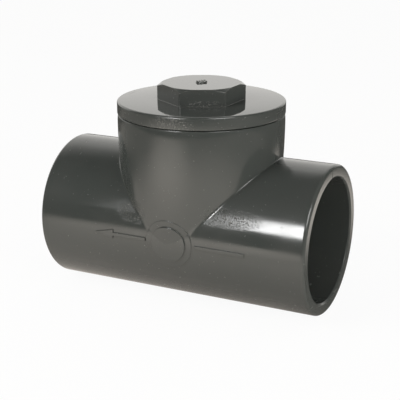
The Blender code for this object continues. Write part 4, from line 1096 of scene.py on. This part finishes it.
def makeWorld():
    world = bpy.data.worlds.new("studio")
    scene.world = world
    world.use_nodes = True
    tree = world.node_tree
    tree.nodes.clear()
    rays = addNode(tree, "LightPath", {}).outputs
    direction = addNode(tree, "TexCoord", {}).outputs["Generated"]
    parts = addNode(tree, "SeparateXYZ", {"Vector": direction}).outputs
    turnedBack = addNode(tree, "Math", {"operation": "MULTIPLY_ADD", 0: parts["X"], 1: studio["wallTurn"],
                                        2: parts["Y"]})
    wall = 1.0
    for way, name in ((turnedBack, "wallBehind"), (parts["X"], "wallLeft"), (parts["Z"], "wallHeight")):
        start, end = studio[name]
        edge = addNode(tree, "MapRange", {"interpolation_type": "SMOOTHSTEP", "From Min": start,
                                          "From Max": end, "Value": way})
        wall = addNode(tree, "Math", {"operation": "MULTIPLY", 0: wall, 1: edge})
    paleWall = [c * studio["wallLevel"] for c in hexToLinear(studio["wallColour"])[:3]] + [1.0]
    room = addNode(tree, "Mix", {"data_type": "RGBA", "Factor": wall, "A": hexToLinear(studio["roomColour"]),
                                 "B": paleWall})
    mirrored = addNode(tree, "Background", {"Color": room.outputs["Result"], "Strength": 1.0})
    ambient = addNode(tree, "Background", {"Color": plainWhite, "Strength": studio["ambient"]})
    backdrop = addNode(tree, "Background", {"Color": plainWhite, "Strength": 1.0})
    lighting = addNode(tree, "MixShader", {0: rays["Is Glossy Ray"], 1: ambient, 2: mirrored})
    shown = addNode(tree, "MixShader", {0: rays["Is Camera Ray"], 1: lighting, 2: backdrop})
    addNode(tree, "OutputWorld", {"Surface": shown})


def softSpot(tree, place, spot):
    # The spot's level at the middle of an ellipse on the floor, falling smoothly to 0 outside it
    laid = addNode(tree, "Mapping", {"vector_type": "TEXTURE", "Location": (*spot["place"], 0.0),
                                     "Scale": (*spot["size"], 1.0), "Vector": place})
    parts = addNode(tree, "SeparateXYZ", {"Vector": laid}).outputs
    flat = addNode(tree, "CombineXYZ", {"X": parts["X"], "Y": parts["Y"]})
    reach = addNode(tree, "VectorMath", {"operation": "LENGTH", 0: flat}).outputs["Value"]
    return addNode(tree, "MapRange", {"interpolation_type": "SMOOTHSTEP", "From Min": 1.5, "From Max": 0.3,
                                      "To Max": spot["level"], "Value": reach})


def makeSheet():
    material, tree = newMaterial("paperSheet")
    rays = addNode(tree, "LightPath", {}).outputs
    place = addNode(tree, "TexCoord", {}).outputs["Object"]
    depth = addNode(tree, "SeparateXYZ", {"Vector": place}).outputs["Y"]
    front, fade = studio["sheetFront"], studio["sheetFade"]
    nearEdge = addNode(tree, "MapRange", {"interpolation_type": "SMOOTHSTEP", "From Min": front - fade,
                                          "From Max": front + fade, "Value": depth})
    far = addNode(tree, "MapRange", {"interpolation_type": "SMOOTHSTEP", "From Min": studio["farFrom"],
                                     "From Max": studio["farTo"], "To Min": 1.0,
                                     "To Max": studio["farShare"], "Value": depth})
    # What the gloss sees of the sheet is painted: a level, painted pools of light, painted shade behind, and
    # painted shadows of the valve
    paintedShine = studio["sheetLevel"]
    for spot in paintedLightSpots.values():
        paintedShine = addNode(tree, "Math", {"operation": "ADD", 0: paintedShine, 1: softSpot(tree, place, spot)})
    paintedShine = addNode(tree, "Math", {"operation": "MULTIPLY", 0: paintedShine, 1: far})
    for spot in paintedShadeSpots.values():
        paintedShine = addNode(tree, "Math", {"operation": "MULTIPLY_ADD", 0: paintedShine,
                                       1: softSpot(tree, place, spot), 2: paintedShine})
    paintedShine = addNode(tree, "Math", {"operation": "ADD", 0: paintedShine, 1: softSpot(tree, place, paintedGlowBehindRim)})
    paintedShine = addNode(tree, "Math", {"operation": "MULTIPLY", 0: paintedShine, 1: nearEdge})
    paintedReflection = addNode(tree, "Emission", {"Color": hexToLinear(studio["sheetColour"]), "Strength": paintedShine})
    plain = addNode(tree, "Emission", {"Color": plainWhite, "Strength": 1.0})
    paper = addNode(tree, "BsdfPrincipled", {"Base Color": hexToLinear(studio["paperColour"]),
                                             "Roughness": studio["paperRoughness"]})
    mirrored = addNode(tree, "MixShader", {0: rays["Is Glossy Ray"], 1: paper, 2: paintedReflection})
    direct = addNode(tree, "Math", {"operation": "MULTIPLY", 0: rays["Is Camera Ray"], 1: studio["direct"]})
    shown = addNode(tree, "MixShader", {0: direct, 1: mirrored, 2: plain})
    addNode(tree, "OutputMaterial", {"Surface": shown})
    sheet = bmesh.new()
    bmesh.ops.create_grid(sheet, x_segments=1, y_segments=1, size=4000.0,
                          matrix=Matrix.Translation((0, 0, -fit["runRadius"] - 0.05)))
    floor = addPiece("paperSheet", sheet)
    floor.data.materials.append(material)


def makeLamps():
    for name, lamp in lamps.items():
        data = bpy.data.lights.new(name, "AREA")
        data.shape = "RECTANGLE"
        data.size, data.size_y = lamp["size"]
        data.energy = lamp["power"]
        holder = bpy.data.objects.new(name, data)
        holder.location = lamp["place"]
        holder.rotation_mode = "QUATERNION"
        holder.rotation_quaternion = (-Vector(lamp["place"])).to_track_quat("-Z", "Y")
        holder.visible_diffuse = not lamp["glossy"]
        holder.visible_glossy = lamp["glossy"]
        holder.visible_camera = False
        scene.collection.objects.link(holder)


makeWorld()
makeSheet()
makeLamps()
print("studio set")

for name, node in frame["nodes"].items():
    slotName = next(row["material_slot"] for row in frame["record"]["subparts"] if row["node"] == name)
    node.data.materials.clear()
    node.data.materials.append(materials[slotName])
